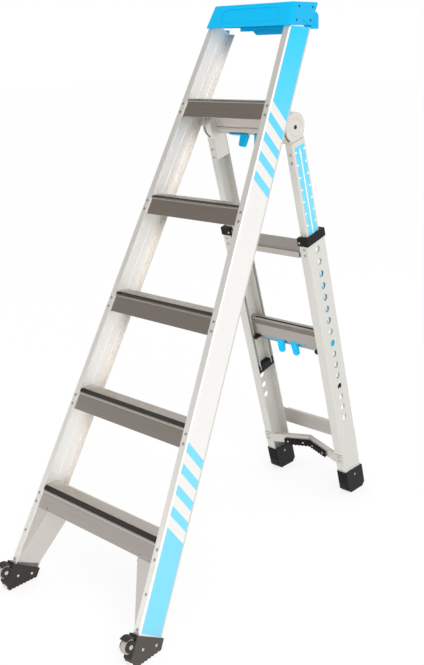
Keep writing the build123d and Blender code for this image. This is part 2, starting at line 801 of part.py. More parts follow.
def nosed_box(inset):
    """Section of the lever rung's box, less an inset, with a bevel along its front top edge."""
    width = rung_box_front + rung_box_back - 2 * inset
    box = Pos(inset, inset) * Rectangle(width, rung_box_height - 2 * inset, align=(MIN, MIN))
    corner = box.vertices().sort_by(Axis.Y)[-2:].sort_by(Axis.X)[0]
    return chamfer(corner, rung_nose - inset / 2)


def lever_rung():
    """Box-section step that holds the slide lock's pins, with a tube below it."""
    box = nosed_box(0) - nosed_box(rung_wall)
    section = Circle(tube_radius) + Pos(-rung_box_front, box_rise) * box
    section -= Circle(tube_radius - tube_wall)
    rung = extrude(Plane.YZ * section, inner_outside - inner_wall, both=True)
    return rear_frame * Pos(0, 0, -tube_drop) * (rung - slide_slots())


def lever_rung_strip():
    """Grip strip on the lever rung's step."""
    top = box_rise + rung_box_height
    start = rung_nose - rung_box_front
    half = inner_outside - inner_flange
    strip = block((-half, half), (start, start + rung_strip_width), (top, top + rung_strip_height))
    return rear_frame * Pos(0, 0, -tube_drop) * strip


def lock_pin(radius, drop, tip):
    """A right-hand lock pin inside a rung."""
    return rear_frame * Pos(0, 0, -drop) * rod(radius, pin_inner, tip)


def paddle(high, drop, face, back):
    """A right-hand lever's finger grip, narrower and rounded at its tip."""
    tip = high - drop
    outline = [(paddle_inner, high), (paddle_outer, high), (paddle_outer, tip), (paddle_tip, tip)]
    grip = upright(outline, face, back)
    return fillet(grip.edges().filter_by(Axis.Y).group_by(Axis.Z)[0], paddle_round)


def hinge_lock_lever():
    """Right squeeze lever of the hinge: plate on the tube, paddle and stem in to the pin."""
    top = -tube_radius - fit_gap
    low = top - lever_plate
    lever = block((lever_inner, lever_outer), (-lever_half_width, lever_half_width), (low, top))
    lever += paddle(low, hinge_paddle_drop, -paddle_front, paddle_back)
    lever += block((stem_inner, stem_inner + stem_width), (-stem_half_width, stem_half_width),
                   (top, -hinge_pin_radius - fit_gap))
    return rear_frame * Pos(0, 0, -hinge_pin_drop) * Rot(-hinge_lever_turn, 0, 0) * lever


def slide_lock_lever():
    """Right squeeze lever of the slide: plate under the box, paddle ahead of the tube, stem to the pin."""
    stem = (stem_inner, stem_inner + stem_width)
    stem_front = -slide_lever_back - 2 * stem_half_width
    grip_back = -tube_radius - slot_gap
    face = grip_back - slide_paddle_depth
    top = box_rise - fit_gap
    low = top - lever_plate
    lever = block((lever_inner, lever_outer), (face, -slide_lever_back), (low, top))
    lever += paddle(low, slide_paddle_drop, face, grip_back)
    lever += block(stem, (stem_front, -slide_lever_back), (top, slide_pin_rise + stem_half_width))
    lever += block(stem, (stem_front, -slide_pin_radius - fit_gap),
                   (slide_pin_rise - stem_half_width, slide_pin_rise + stem_half_width))
    return rear_frame * Pos(0, 0, -tube_drop) * lever


def inner_glide():
    """Right glide on the inner stile's lower end, running inside the outer stile."""
    reach = outer_half_depth - outer_wall - slide_gap
    start = inner_end - glide_lap
    glide = block((inner_outside - inner_flange, outer_outside - outer_wall - slide_gap), (-reach, reach),
                  (-start - glide_length, -start))
    depth = inner_half_depth + fit_gap
    section = channel(2 * depth, inner_flange + 2 * fit_gap, inner_wall + 2 * fit_gap, rear_inner_corner)
    groove = extrude(Pos(inner_outside + fit_gap, -depth) * section, glide_lap + 2 * fit_gap)
    glide -= Pos(0, 0, -inner_end - fit_gap) * groove
    return rear_frame * glide


def bumpers():
    """A rubber stop on the front of the lock tube's each end."""
    stop = Rot(90, 0, 0) * Cone(bumper_radius, bumper_tip, bumper_front, align=(MID, MID, MIN))
    stop = Pos(flange_edge - bumper_room - bumper_radius, 0, bumper_rise) * stop
    stop -= rod(tube_radius + fit_gap, 0, outer_outside)
    return pair([rear_frame * Pos(0, 0, -tube_drop) * stop])


def outer_stile():
    """Right outer stile with its row of adjusting holes."""
    bar = rear_channel(outer_outside, outer_half_depth, outer_flange, outer_wall, outer_top, rear_cut)
    hole = rod(hole_radius, outer_outside - 2 * outer_wall, outer_outside + outer_wall)
    for number in range(hole_count):
        bar -= Pos(0, 0, -hole_first - number * hole_pitch) * hole
    return rear_frame * bar - below(outer_end_height)


def guide():
    """Right guide: a collar over the outer stile's top, grooved for the inner stile's rivets."""
    wrap = outer_half_depth + guide_wall
    lining = inner_half_depth + slide_gap
    top = -outer_top + guide_height - guide_lap
    sides = (outer_outside - guide_width, outer_outside + guide_wall)
    collar = block(sides, (-wrap, wrap), (top - guide_height, top))
    collar -= block((0, inner_outside + slide_gap), (-lining, lining), (-FAR, FAR))
    collar -= block((0, flange_edge), (lining, FAR), (-FAR, FAR))
    relief = lining + rivet_height
    rivet_line = inner_outside - inner_flange / 2
    room = rivet_radius + slide_gap
    collar -= block((rivet_line - room, rivet_line + room), (-relief, relief), (-FAR, FAR))
    depth = outer_half_depth + fit_gap
    section = channel(2 * depth, outer_flange + 2 * fit_gap, outer_wall + 2 * fit_gap, rear_inner_corner)
    groove = extrude(Pos(outer_outside + fit_gap, -depth) * section, guide_lap)
    collar -= Pos(0, 0, top - guide_height) * groove
    return rear_frame * collar


def guide_screws():
    """A screw in the front of each guide."""
    face = -outer_half_depth - guide_wall
    place = Pos(outer_outside - guide_screw_inset, face, -outer_top - guide_lap / 2)
    return pair([rear_frame * place * Rot(90, 0, 0) * screw()])


def outer_top_rung():
    """Folded rung behind the outer stiles' front flanges, its lower band proud."""
    face = -outer_half_depth + outer_wall
    proud = face - top_rung_proud
    outline = Polyline((-top_rung_back, -top_rung_upper), (face, -top_rung_upper), (face, -top_rung_step),
                       (proud, -top_rung_step), (proud, -top_rung_lower), (-top_rung_back, -top_rung_lower))
    section = make_face(offset(outline, top_rung_wall, kind=Kind.INTERSECTION, side=Side.LEFT))
    rung = extrude(Plane.YZ * section, flange_edge - top_rung_gap, both=True)
    tab_end = outer_outside - top_rung_tab_inset
    rung += block((-tab_end, tab_end), (face, face + top_rung_wall),
                  (-top_rung_lower, -top_rung_tab_top))
    return rear_frame * rung


def rear_brace():
    """Channel bar across the outer stiles' back flanges, its lips cut back at the ends."""
    face = outer_half_depth
    low = -brace_bar_top - brace_bar_height
    half = outer_outside - brace_bar_inset
    lipped = half - brace_bar_tab
    bar = block((-half, half), (face, face + brace_bar_wall), (low, -brace_bar_top))
    bar += block((-lipped, lipped), (face, face + brace_bar_lip), (low, -brace_bar_top))
    bar -= block((-FAR, FAR), (face + brace_bar_wall, FAR),
                 (low + brace_bar_wall, -brace_bar_top - brace_bar_wall))
    return rear_frame * bar


def bar_face(x):
    """Offset of the wall bar's back face at a half width."""
    share = min(abs(x) / bar_bend, 1.0)
    return -bar_vertex - (outer_half_depth - bar_vertex) * share


def bar_plan(half, back, thick):
    """Plan of a strip along the wall bar: half length, distance ahead of its back face, thickness."""
    stations = [x for x in (-half, -bar_bend, 0, bar_bend, half) if abs(x) <= half]
    rear_line = [(x, bar_face(x) - back) for x in stations]
    return rear_line + [(x, y - thick) for x, y in reversed(rear_line)]


def wall_bar():
    """Vee-shaped bar across the outer stiles' front flanges, with a lip along its top."""
    low = -bar_top - bar_height
    bar = plan(bar_plan(outer_outside - bar_inset, 0, bar_wall), low, -bar_top)
    lip = bar_plan(flange_edge - bar_lip_gap, -bar_lip, bar_lip + bar_wall)
    bar += plan(lip, -bar_top - bar_wall, -bar_top)
    return rear_frame * bar


def wall_bar_pad():
    """Rubber pad along the wall bar, scalloped in front."""
    high = -bar_top - pad_drop
    pad = plan(bar_plan(pad_half, bar_wall, pad_wall), high - pad_height, high)
    for side in (-1, 1):
        for number in range(pad_tooth_count):
            x = side * pad_half * (number + 0.5) / pad_tooth_count
            tooth = Cylinder(pad_tooth_radius, 3 * pad_height)
            pad -= Pos(x, bar_face(x) - bar_wall - pad_wall, high) * tooth
    return rear_frame * pad


def wall_bar_screws():
    """Screws that hold the pad."""
    slope = degrees(atan((outer_half_depth - bar_vertex) / bar_bend))
    level = -bar_top - pad_drop - pad_screw_drop
    heads = []
    for inset in pad_screws:
        x = pad_half - inset
        place = Pos(x, bar_face(x) - bar_wall - pad_wall, level)
        heads.append(rear_frame * place * Rot(0, 0, -slope) * Rot(90, 0, 0) * screw())
    return pair(heads)


def rear_foot():
    """Right rear boot with ridges across its front and a level sole."""
    half = outer_half_depth + boot_wall
    outside = (flange_edge - boot_wall, outer_outside + boot_wall)
    ridge = (outside[0] + boot_corner, outside[1] - boot_corner)
    boot = block(outside, (-half, half), (-rear_cut, -rear_length + 2 * boot_height))
    boot = chamfer(boot.edges().filter_by(Axis.Z).group_by(Axis.Y)[0], boot_corner)
    front_top = rear_length - (boot_height + half * cos(rear)) / sin(rear)
    for number in range(boot_ridge_count):
        level = -front_top - number * boot_ridge_pitch
        boot += block(ridge, (-half - boot_ridge_height, 0), (level - boot_ridge_width, level))
    foot = (rear_frame * boot & below(boot_height)) - below(0)
    pocket = block((outside[0] + boot_wall - fit_gap, outer_outside + fit_gap),
                   (-outer_half_depth - fit_gap, outer_half_depth + fit_gap), (-FAR, FAR))
    foot -= rear_frame * pocket - below(outer_end_height)
    sole = foot.edges().filter_by(Axis.X).group_by(Axis.Z)[0].sort_by(Axis.Y)
    return chamfer([sole[0], sole[-1]], boot_chamfer)


def rear_upper_rivets():
    """Rivets that hold the tongues and the lever rung in the inner stiles."""
    drops = [(head_neck + tongue_end) / 2, tongue_end - rivet_radius * 2]
    inset = inner_outside - inner_flange / 2
    heads = [rear_frame * Pos(inset, -inner_half_depth, -drop) * Rot(90, 0, 0) * rivet() for drop in drops]
    heads += [rear_frame * Pos(inset, inner_half_depth, -drop) * Rot(-90, 0, 0) * rivet() for drop in drops]
    return pair(heads)


def rear_lower_rivets():
    """Rivets of the top rung, the rear brace, the wall bar and the rear feet."""
    inset = outer_outside - outer_flange / 2
    rung_rivets = [top_rung_tab_top + 2 * rivet_radius, top_rung_lower - 2 * rivet_radius]
    front_face = [(-outer_half_depth, drop) for drop in rung_rivets]
    front_face += [(-outer_half_depth - bar_wall, bar_top + drop) for drop in bar_rivets]
    heads = [rear_frame * Pos(inset, y, -drop) * Rot(90, 0, 0) * rivet() for y, drop in front_face]
    back = outer_half_depth + brace_bar_wall
    heads += [rear_frame * Pos(inset, back, -brace_bar_top - drop) * Rot(-90, 0, 0) * rivet()
              for drop in brace_bar_rivets]
    boot = outer_outside + boot_wall
    heads.append(rear_frame * Pos(boot, 0, -boot_rivet_drop) * Rot(0, 90, 0) * rivet())
    inside = flange_edge - boot_wall
    heads.append(rear_frame * Pos(inside, 0, -boot_rivet_drop) * Rot(0, -90, 0) * rivet())
    return pair(heads)


def sided(name, shape):
    """A right-hand piece and its left-hand copy, as two nodes."""
    return {f"{name}_right": shape, f"{name}_left": mirrored(shape)}


def ladder():
    """All nodes by name, in the frame of the front section's foot."""
    nodes = sided("front_stile", front_stile())
    for number, step in enumerate(reversed(steps), 1):
        nodes[f"tread_{number}"] = tread(step)
    nodes["tread_grip_strips"] = group([grip_strip(step) for step in steps])
    nodes["tread_rivets"] = tread_rivets()
    nodes |= sided("knee_brace", knee_brace())
    nodes["knee_brace_rivets"] = knee_brace_rivets()
    nodes |= sided("front_foot", front_foot())
    nodes |= sided("wheel", wheel())
    nodes["wheel_axles"] = pair([wheel_axle()])
    nodes["front_foot_rivets"] = foot_rivets_group()
    nodes["top_cap"] = top_cap()
    nodes["top_cap_screws"] = cap_screws_group()
    nodes["wall_rest"] = wall_rest()
    nodes["wall_rest_bolts"] = wall_rest_bolts()
    nodes |= sided("hinge_bracket", hinge_bracket())
    nodes["hinge_bracket_rivets"] = bracket_rivets()
    nodes |= sided("hinge_head", hinge_head())
    nodes["hinge_pivot_bolts"] = pivot_bolts()
    nodes |= sided("inner_stile", inner_stile())
    nodes["hinge_rung"] = hinge_rung()
    nodes["lever_rung"] = lever_rung()
    nodes["lever_rung_grip_strip"] = lever_rung_strip()
    nodes |= sided("inner_glide", inner_glide())
    nodes["bumpers"] = bumpers()
    nodes["rear_upper_rivets"] = rear_upper_rivets()
    nodes |= sided("outer_stile", outer_stile())
    nodes |= sided("guide", guide())
    nodes["guide_screws"] = guide_screws()
    nodes["outer_top_rung"] = outer_top_rung()
    nodes["rear_brace"] = rear_brace()
    nodes["wall_bar"] = wall_bar()
    nodes["wall_bar_pad"] = wall_bar_pad()
    nodes["wall_bar_screws"] = wall_bar_screws()
    nodes |= sided("rear_foot", rear_foot())
    nodes["rear_lower_rivets"] = rear_lower_rivets()
    hinge_tip = bracket_inner - pin_tip_gap
    slide_tip = outer_outside - outer_wall - pin_tip_gap
    nodes |= sided("hinge_lock_lever", hinge_lock_lever())
    nodes |= sided("hinge_lock_pin", lock_pin(hinge_pin_radius, hinge_pin_drop, hinge_tip))
    nodes |= sided("slide_lock_lever", slide_lock_lever())
    nodes |= sided("slide_lock_pin", lock_pin(slide_pin_radius, pin_drop, slide_tip))
    return nodes


def main():
    """Centres the ladder over the origin, writes every node and prints the joints' places."""
    nodes = ladder()
    boxes = [shape.bounding_box() for shape in nodes.values()]
    shift = -(min(box.min.Y for box in boxes) + max(box.max.Y for box in boxes)) / 2
    for name, shape in nodes.items():
        export_step(Pos(0, shift, 0) * shape, f"parts/{name}.step")
    centre = (Pos(0, shift, 0) * wheel_place()).position
    print("shift", shift, "folded turn", folded_turn)
    print("pivot", pivot_y + shift, pivot_z, "down", cos(rear), -sin(rear))
    print("wheel", centre, "axis", (right_stile * Pos(1, 0, 0)).position - right_stile.position)
    print("slide range", hole_pitch * (hole_count - 1 - pin_hole), "lock travel", lock_in, lock_out)


main()
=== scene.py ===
"""Looks of a combination ladder: the finish of every part, and the fine pieces that its frame carries."""

import json
import logging
import math
from dataclasses import dataclass, field, replace
from enum import Enum
from typing import Any

import bmesh
import bpy
import numpy as np
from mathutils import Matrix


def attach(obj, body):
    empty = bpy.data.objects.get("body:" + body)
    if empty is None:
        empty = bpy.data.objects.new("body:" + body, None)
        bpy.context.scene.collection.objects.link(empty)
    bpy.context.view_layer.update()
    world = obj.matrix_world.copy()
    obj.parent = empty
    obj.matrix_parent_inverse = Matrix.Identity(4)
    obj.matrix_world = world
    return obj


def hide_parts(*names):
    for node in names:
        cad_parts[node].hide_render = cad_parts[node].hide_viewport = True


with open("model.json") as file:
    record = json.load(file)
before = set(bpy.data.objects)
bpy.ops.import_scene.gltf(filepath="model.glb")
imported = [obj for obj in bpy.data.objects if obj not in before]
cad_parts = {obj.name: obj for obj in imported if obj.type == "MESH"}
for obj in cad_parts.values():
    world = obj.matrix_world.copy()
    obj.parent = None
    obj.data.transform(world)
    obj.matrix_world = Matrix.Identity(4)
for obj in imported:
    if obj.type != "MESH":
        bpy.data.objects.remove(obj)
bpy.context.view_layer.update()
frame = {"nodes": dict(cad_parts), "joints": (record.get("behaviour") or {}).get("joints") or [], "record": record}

LOG = logging.getLogger("ladder")
MM = 0.001
IMAGE_HEIGHT = 665
WHITE = "FFFFFF"
TREADS = tuple(f"tread_{number}" for number in range(1, 6))
UP = (0.0, 0.0, 1.0)
AHEAD = (0.0, -1.0, 0.0)
# Corners of a new piece that are closer than this are one corner, in metres
WELD = 0.001 * MM
# Decimals of a metre to which the corners of the frame's solids coincide
CORNER_DECIMALS = 6
# A film starts this far above the metal, in metres, so that their faces never coincide
FILM_GAP = 0.02 * MM
# Width of the change between the two tones of a part, in millimetres
TONE_BLEND = 0.4
# Octaves of the noise in a finish, and how strong each is against the one before
NOISE_DETAIL, NOISE_ROUGHNESS = 3.0, 0.55
# Rays with which a shader rounds an edge
EDGE_SAMPLES = 4
# An axis that rises more steeply than this takes y, not z, as its helper
STEEP = 0.9
# Share of a head's radius from which a corner counts as its rim, and the least height in metres that counts
RIM_SHARE, RIM_RISE = 0.98, 1e-9

Array = np.ndarray
Vector = tuple[float, float, float]
Mesh = bpy.types.Mesh
Socket = bpy.types.NodeSocket
Tree = bpy.types.NodeTree


class Side(Enum):
    """Right and left of a climber who faces the treads, as the sign of x."""

    RIGHT = 1
    LEFT = -1

    @property
    def word(self) -> str:
        """The side as it stands in names."""
        return self.name.lower()


class Slot(Enum):
    """Material slots of the record."""

    STILE = "aluminium_stile"
    TREAD = "aluminium_tread"
    CAST = "cast_aluminium"
    ZINC = "zinc_plated_steel"
    GRIP = "grip_strip"
    BLUE = "blue_plastic"
    FOOT = "grey_foot_plastic"
    BLACK = "black_plastic"
    RUBBER = "black_rubber"
    WHEEL = "wheel_plastic"


class Grain(Enum):
    """Turn about x that lays a streak pattern along a part, in degrees."""

    FRONT_STILE = 28.0
    REAR_STILE = -15.2
    ACROSS = 0.0

    @property
    def depth_axis(self) -> Vector:
        """The direction from the part's front to its back."""
        turn = math.radians(self.value)
        return (0.0, math.cos(turn), -math.sin(turn))


def linear(hex_colour: str) -> tuple[float, float, float, float]:
    """Turns an sRGB hex colour to linear, by the sRGB curve: a straight foot, and above it a power.

    Args:
        hex_colour: Six digits, such as "00A5EA".

    Returns:
        Red, green, blue and an alpha of 1.
    """
    values = np.array([int(hex_colour[i:i + 2], 16) for i in (0, 2, 4)]) / 255.0
    low, high = values / 12.92, ((values + 0.055) / 1.055) ** 2.4
    return (*np.where(values <= 0.04045, low, high).tolist(), 1.0)


def add_node(tree: Tree, kind: str, settings: dict[str | int, Any], **links: Socket) -> bpy.types.Node:
    """Adds a node with its settings and links.

    A number names a socket by its place. On a Mix node of colours, input 0 is the share of the second colour,
    inputs 6 and 7 are the two colours, and output 2 is the result.

    Args:
        tree: The node tree.
        kind: Blender's name of the node's type.
        settings: Values by attribute or by input socket.
        links: Output sockets by the name of the input that they feed, with _ for a space and before a number.

    Returns:
        The new node.
    """
    node = tree.nodes.new(kind)
    for name, value in settings.items():
        if isinstance(name, str) and hasattr(node, name):
            setattr(node, name, value)
        else:
            node.inputs[name].default_value = value
    for name, socket in links.items():
        key = int(name[1:]) if name[1:].isdigit() else name.replace("_", " ")
        tree.links.new(socket, node.inputs[key])
    return node


@dataclass(frozen=True)
class Fade:
    """A change of colour along a direction of the Object coordinates, between two distances in metres."""

    axis: Vector
    start: float
    end: float
    colour: str

    def add(self, tree: Tree, colour: Socket) -> Socket:
        """Adds the fade's nodes.

        Args:
            tree: The material's node tree.
            colour: The socket with the colour before the start.

        Returns:
            The socket with the faded colour.
        """
        place = add_node(tree, "ShaderNodeTexCoord", {})
        along = add_node(tree, "ShaderNodeVectorMath", {"operation": "DOT_PRODUCT", 1: self.axis},
                         _0=place.outputs["Object"])
        share = add_node(tree, "ShaderNodeMapRange", {"From Min": self.start, "From Max": self.end},
                         Value=along.outputs["Value"])
        mixed = add_node(tree, "ShaderNodeMix", {"data_type": "RGBA", 7: linear(self.colour)},
                         _0=share.outputs[0], _6=colour)
        return mixed.outputs[2]


@dataclass(frozen=True)
class Finish:
    """A surface: its shader's constants, and a fine pattern that varies colour, gloss and height.

    The pattern is a noise field in Object coordinates, stretched by two lengths in millimetres. Draw lines
    and moulding grain are really about 0.1 mm wide. They are drawn 0.7 to 3.5 mm wide, so that they show.
    The height of the bump and the rounding of edges are in millimetres too.
    """

    title: str
    colour: str
    second_colour: str
    metallic: float
    roughness: float
    pattern_along: float
    pattern_across: float
    gloss_change: float
    bump_height: float
    edge_round: float
    ior: float | None = None
    grain: Grain = Grain.ACROSS
    along_x: bool = False
    fade: Fade | None = None

    def build(self) -> bpy.types.Material:
        """Makes the material once and gives it back when asked again.

        Returns:
            The Blender material.
        """
        name = f"{self.title}_{self.grain.name.lower()}"
        found = bpy.data.materials.get(name)
        if found:
            return found
        material = bpy.data.materials.new(name)
        material.use_nodes = True
        tree = material.node_tree
        shader = tree.nodes["Principled BSDF"]
        shader.inputs["Metallic"].default_value = self.metallic
        if self.ior:
            shader.inputs["IOR"].default_value = self.ior
        pattern = self.pattern(tree)
        colours = {6: linear(self.colour), 7: linear(self.second_colour)}
        tint = add_node(tree, "ShaderNodeMix", {"data_type": "RGBA"} | colours, _0=pattern)
        colour = self.fade.add(tree, tint.outputs[2]) if self.fade else tint.outputs[2]
        tree.links.new(colour, shader.inputs["Base Color"])
        span = {"To Min": self.roughness - self.gloss_change, "To Max": self.roughness + self.gloss_change}
        gloss = add_node(tree, "ShaderNodeMapRange", span, Value=pattern)
        tree.links.new(gloss.outputs[0], shader.inputs["Roughness"])
        rounded = add_node(tree, "ShaderNodeBevel", {"samples": EDGE_SAMPLES, "Radius": self.edge_round * MM})
        bump = add_node(tree, "ShaderNodeBump", {"Strength": 1.0, "Distance": self.bump_height * MM},
                        Height=pattern, Normal=rounded.outputs[0])
        tree.links.new(bump.outputs[0], shader.inputs["Normal"])
        return material

    def pattern(self, tree: Tree) -> Socket:
        """Adds the pattern's nodes.

        Args:
            tree: The material's node tree.

        Returns:
            The socket with the pattern, from 0 to 1.
        """
        place = add_node(tree, "ShaderNodeTexCoord", {})
        across, along = 1 / (self.pattern_across * MM), 1 / (self.pattern_along * MM)
        scale = (along, across, across) if self.along_x else (across, across, along)
        turned = add_node(tree, "ShaderNodeMapping", {"Rotation": (math.radians(self.grain.value), 0, 0)},
                          Vector=place.outputs["Object"])
        stretched = add_node(tree, "ShaderNodeMapping", {"Scale": scale}, Vector=turned.outputs[0])
        noise = add_node(tree, "ShaderNodeTexNoise",
                         {"Scale": 1.0, "Detail": NOISE_DETAIL, "Roughness": NOISE_ROUGHNESS},
                         Vector=stretched.outputs[0])
        return noise.outputs[0]


# Each finish gives, after its two colours: metallic, roughness, pattern along and across, change of gloss,
# height of the bump and rounding of edges

# Extruded aluminium, satin: pale and almost even, with faint draw lines along its length
STILE_FINISH = {
    grain: Finish("extruded_aluminium_satin", pale, dark, metallic, 0.5, 260.0, 1.2, 0.05, 0.02, 0.8,
                  grain=grain)
    for grain, pale, dark, metallic in ((Grain.FRONT_STILE, "F7F6F3", "EFEDE9", 0.84),
                                        (Grain.REAR_STILE, "D2D1CB", "C6C4BD", 0.12))
}
# The rounded edge at the back of a front stile: the same metal, in a slightly darker tone that is painted shade
# along that edge
EDGE_SHADE_FINISH = replace(STILE_FINISH[Grain.FRONT_STILE], title="extruded_aluminium_edge", colour="DEDAD4",
                      second_colour="D5D1CA")
# Mill-finish aluminium of treads: greyer and warmer, with plain draw lines, drawn 3.5 mm wide to show
TREAD_FINISH = Finish("extruded_aluminium_mill", "C8C3BD", "A5A09A", 1.0, 0.3, 160.0, 3.5, 0.08, 0.03, 0.15,
                      along_x=True)
# The lowest tread: painted brighter than the others, as painted light that falls most on the lowest tread
LOW_TREAD_LIT_FINISH = replace(TREAD_FINISH, title="extruded_aluminium_worn", colour="D2CDC7", second_colour="B6B1AB")
# The treads' nosing beads: the same metal painted brighter, and darker on the higher treads, as painted light and
# shade
BEAD_PAINTED_LIGHT_FINISH = replace(TREAD_FINISH, title="extruded_aluminium_bead", colour="D6D2CC", second_colour="C8C4BE",
                      fade=Fade(UP, 0.45, 0.75, "A8A29B"))
# Paler mill finish of bars and folded braces: soft grey with faint draw lines
BAR_FINISH = Finish("rolled_aluminium_bright", "D4D0CA", "C5C0B9", 0.7, 0.4, 180.0, 1.0, 0.07, 0.02, 0.6,
                    along_x=True)
# Greyer mill finish of the lever rung
RUNG_FINISH = replace(BAR_FINISH, title="rolled_aluminium_grey", colour="B6B1AA", second_colour="A7A29C",
                      metallic=0.85)
# The outer half's top rung: the same, paler below
TOP_RUNG_FINISH = replace(RUNG_FINISH, title="rolled_aluminium_pale", colour="C2BCB5", second_colour="B6B0A9")
# Die-cast aluminium: matt, with a fine even grain
CAST_FINISH = Finish("die_cast_aluminium", "E6E4DE", "DAD7D0", 0.85, 0.5, 0.8, 0.8, 0.06, 0.04, 1.5)
# Zinc-plated steel: bright with small cloudy patches
ZINC_FINISH = Finish("zinc_plated_steel", "D4D6D9", "B9BCC0", 1.0, 0.26, 2.5, 2.5, 0.08, 0.01, 0.3)
# Aluminium rivets: duller than plated steel
RIVET_FINISH = replace(ZINC_FINISH, title="blind_rivet_aluminium", colour="B8B8B6", second_colour="A2A2A0",
                       roughness=0.36)
# Blackened steel: nearly black with a soft sheen
OXIDE_FINISH = replace(ZINC_FINISH, title="black_oxide_steel", colour="4A4744", second_colour="383634",
                       roughness=0.4)
# Moulded ABS: satin blue with a fine spark-eroded grain
BLUE_FINISH = Finish("moulded_abs_blue", "00B1E3", "02A9DC", 0.0, 0.36, 0.7, 0.7, 0.05, 0.02, 1.2, ior=1.2)
# The squeeze levers: the same plastic in a lighter blue, painted light where the levers sit in shade under the
# rung
LEVER_PAINTED_LIGHT_FINISH = replace(BLUE_FINISH, title="moulded_abs_light_blue", colour="10C2F6", second_colour="12BAEE")
# Printed vinyl film: blue, smooth, with a soft gloss and wide waves; it fades to light blue down the stile,
# painted light that falls on the lower film
FILM_FINISH = Finish("vinyl_film_blue", "1CBFEE", "20C1EE", 0.0, 0.4, 30.0, 30.0, 0.03, 0.0, 0.1, ior=1.25,
                     fade=Fade(UP, 1.55, 1.05, "78CDEC"))
# White print on the film, also used for the white sheets of painted light on the scale
PRINT_FINISH = Finish("vinyl_film_white", "F8FAFA", "F4F7F8", 0.0, 0.35, 30.0, 30.0, 0.03, 0.0, 0.1)
# Ribbed rubber of the grip strips: dark and dull, with grit
GRIP_FINISH = Finish("ribbed_rubber_grip", "332E2A", "26221F", 0.0, 0.72, 0.9, 0.9, 0.08, 0.12, 0.4, ior=1.35)
# Moulded polyamide of the front boots: dark and warm, matt
FOOT_FINISH = Finish("moulded_polyamide_grey", "332E2A", "2D2926", 0.0, 0.58, 0.9, 0.9, 0.06, 0.03, 1.0,
                     ior=1.35)
# Moulded polyamide of guides, glides and rear boots: black, matt
BLACK_FINISH = Finish("moulded_polyamide_black", "100E0D", "0C0B0A", 0.0, 0.5, 0.9, 0.9, 0.07, 0.03, 0.8,
                      ior=1.3)
# Moulded rubber: black and dull
RUBBER_FINISH = Finish("moulded_rubber_black", "191715", "131210", 0.0, 0.62, 1.2, 1.2, 0.06, 0.05, 0.8,
                       ior=1.3)
# Moulded polyurethane of the wheels: warm grey, satin
WHEEL_FINISH = Finish("moulded_polyurethane_pale", "A69F96", "9C958C", 0.0, 0.42, 2.0, 2.0, 0.05, 0.02, 0.6,
                      ior=1.4)

SLOT_FINISH: dict[Slot, Finish] = {
    Slot.STILE: STILE_FINISH[Grain.FRONT_STILE],
    Slot.TREAD: TREAD_FINISH,
    Slot.CAST: CAST_FINISH,
    Slot.ZINC: ZINC_FINISH,
    Slot.GRIP: GRIP_FINISH,
    Slot.BLUE: BLUE_FINISH,
    Slot.FOOT: FOOT_FINISH,
    Slot.BLACK: BLACK_FINISH,
    Slot.RUBBER: RUBBER_FINISH,
    Slot.WHEEL: WHEEL_FINISH,
}


@dataclass
class Surface:
    """Points and faces of one surface: quads as an array, and larger polygons as lists."""

    points: Array
    quads: Array
    polygons: list[list[int]]


def grid_quads(rows: int, columns: int) -> Array:
    """Quads between the neighbouring rows and columns of a grid whose last column joins the first.

    Args:
        rows: Rows of the grid.
        columns: Points in each row.

    Returns:
        One row of four point numbers for each quad.
    """
    across = np.arange(columns)
    down = np.arange(rows - 1)[:, None] * columns
    start, end = down + across, down + (across + 1) % columns
    return np.stack([start, end, end + columns, start + columns], -1).reshape(-1, 4)


def revolved(profile: Array, segments: int) -> Surface:
    """A profile turned about z: x = r cos a, y = r sin a, z = h, for each pair r, h and each angle a.

    Args:
        profile: Radius and height of each ring, from the foot to the crown.
        segments: Steps of the turn.

    Returns:
        The closed surface, its two ends covered by polygons.
    """
    angle = np.arange(segments) * 2 * math.pi / segments
    radius, height = profile[:, :1], profile[:, 1:]
    points = np.stack([radius * np.cos(angle), radius * np.sin(angle), height + 0 * angle], -1).reshape(-1, 3)
    last = (len(profile) - 1) * segments
    ends = [list(range(segments))[::-1], list(range(last, last + segments))]
    return Surface(points, grid_quads(len(profile), segments), ends)


def rectangle(left: float, right: float, low: float, high: float) -> Array:
    """Corners of a rectangle in order, as x and y in metres, from its edges in millimetres."""
    return np.array([[left, low], [right, low], [right, high], [left, high]]) * MM


def slab(outline: Array, low: float, high: float) -> Surface:
    """An outline in x and y carried straight up from one height to another.

    Args:
        outline: Corners in order, as x and y.
        low: Height of the lower face.
        high: Height of the upper face.

    Returns:
        The closed prism.
    """
    count = len(outline)
    levels = np.repeat([low, high], count)[:, None]
    points = np.hstack([np.tile(outline, (2, 1)), levels])
    ends = [list(range(count))[::-1], list(range(count, 2 * count))]
    return Surface(points, grid_quads(2, count), ends)


def placed(surface: Surface, places: Array) -> Surface:
    """Copies of a surface, one at each place.

    Args:
        surface: The surface at the origin.
        places: One 4 by 4 matrix for each copy.

    Returns:
        All copies as one surface.
    """
    size, count = len(surface.points), len(places)
    points = np.einsum("nij,kj->nki", places[:, :3, :3], surface.points) + places[:, None, :3, 3]
    starts = np.arange(count) * size
    quads = (surface.quads[None] + starts[:, None, None]).reshape(-1, 4)
    polygons = [[index + start for index in polygon]
                for start in starts.tolist() for polygon in surface.polygons]
    return Surface(points.reshape(-1, 3), quads, polygons)


def joined(surfaces: list[Surface]) -> Surface:
    """Several surfaces as one.

    Args:
        surfaces: The surfaces, in order.

    Returns:
        One surface with all points and faces.
    """
    starts = np.cumsum([0] + [len(surface.points) for surface in surfaces[:-1]]).tolist()
    quads = [surface.quads + start for surface, start in zip(surfaces, starts)]
    polygons = [[index + start for index in polygon]
                for surface, start in zip(surfaces, starts) for polygon in surface.polygons]
    return Surface(np.concatenate([surface.points for surface in surfaces]), np.concatenate(quads), polygons)


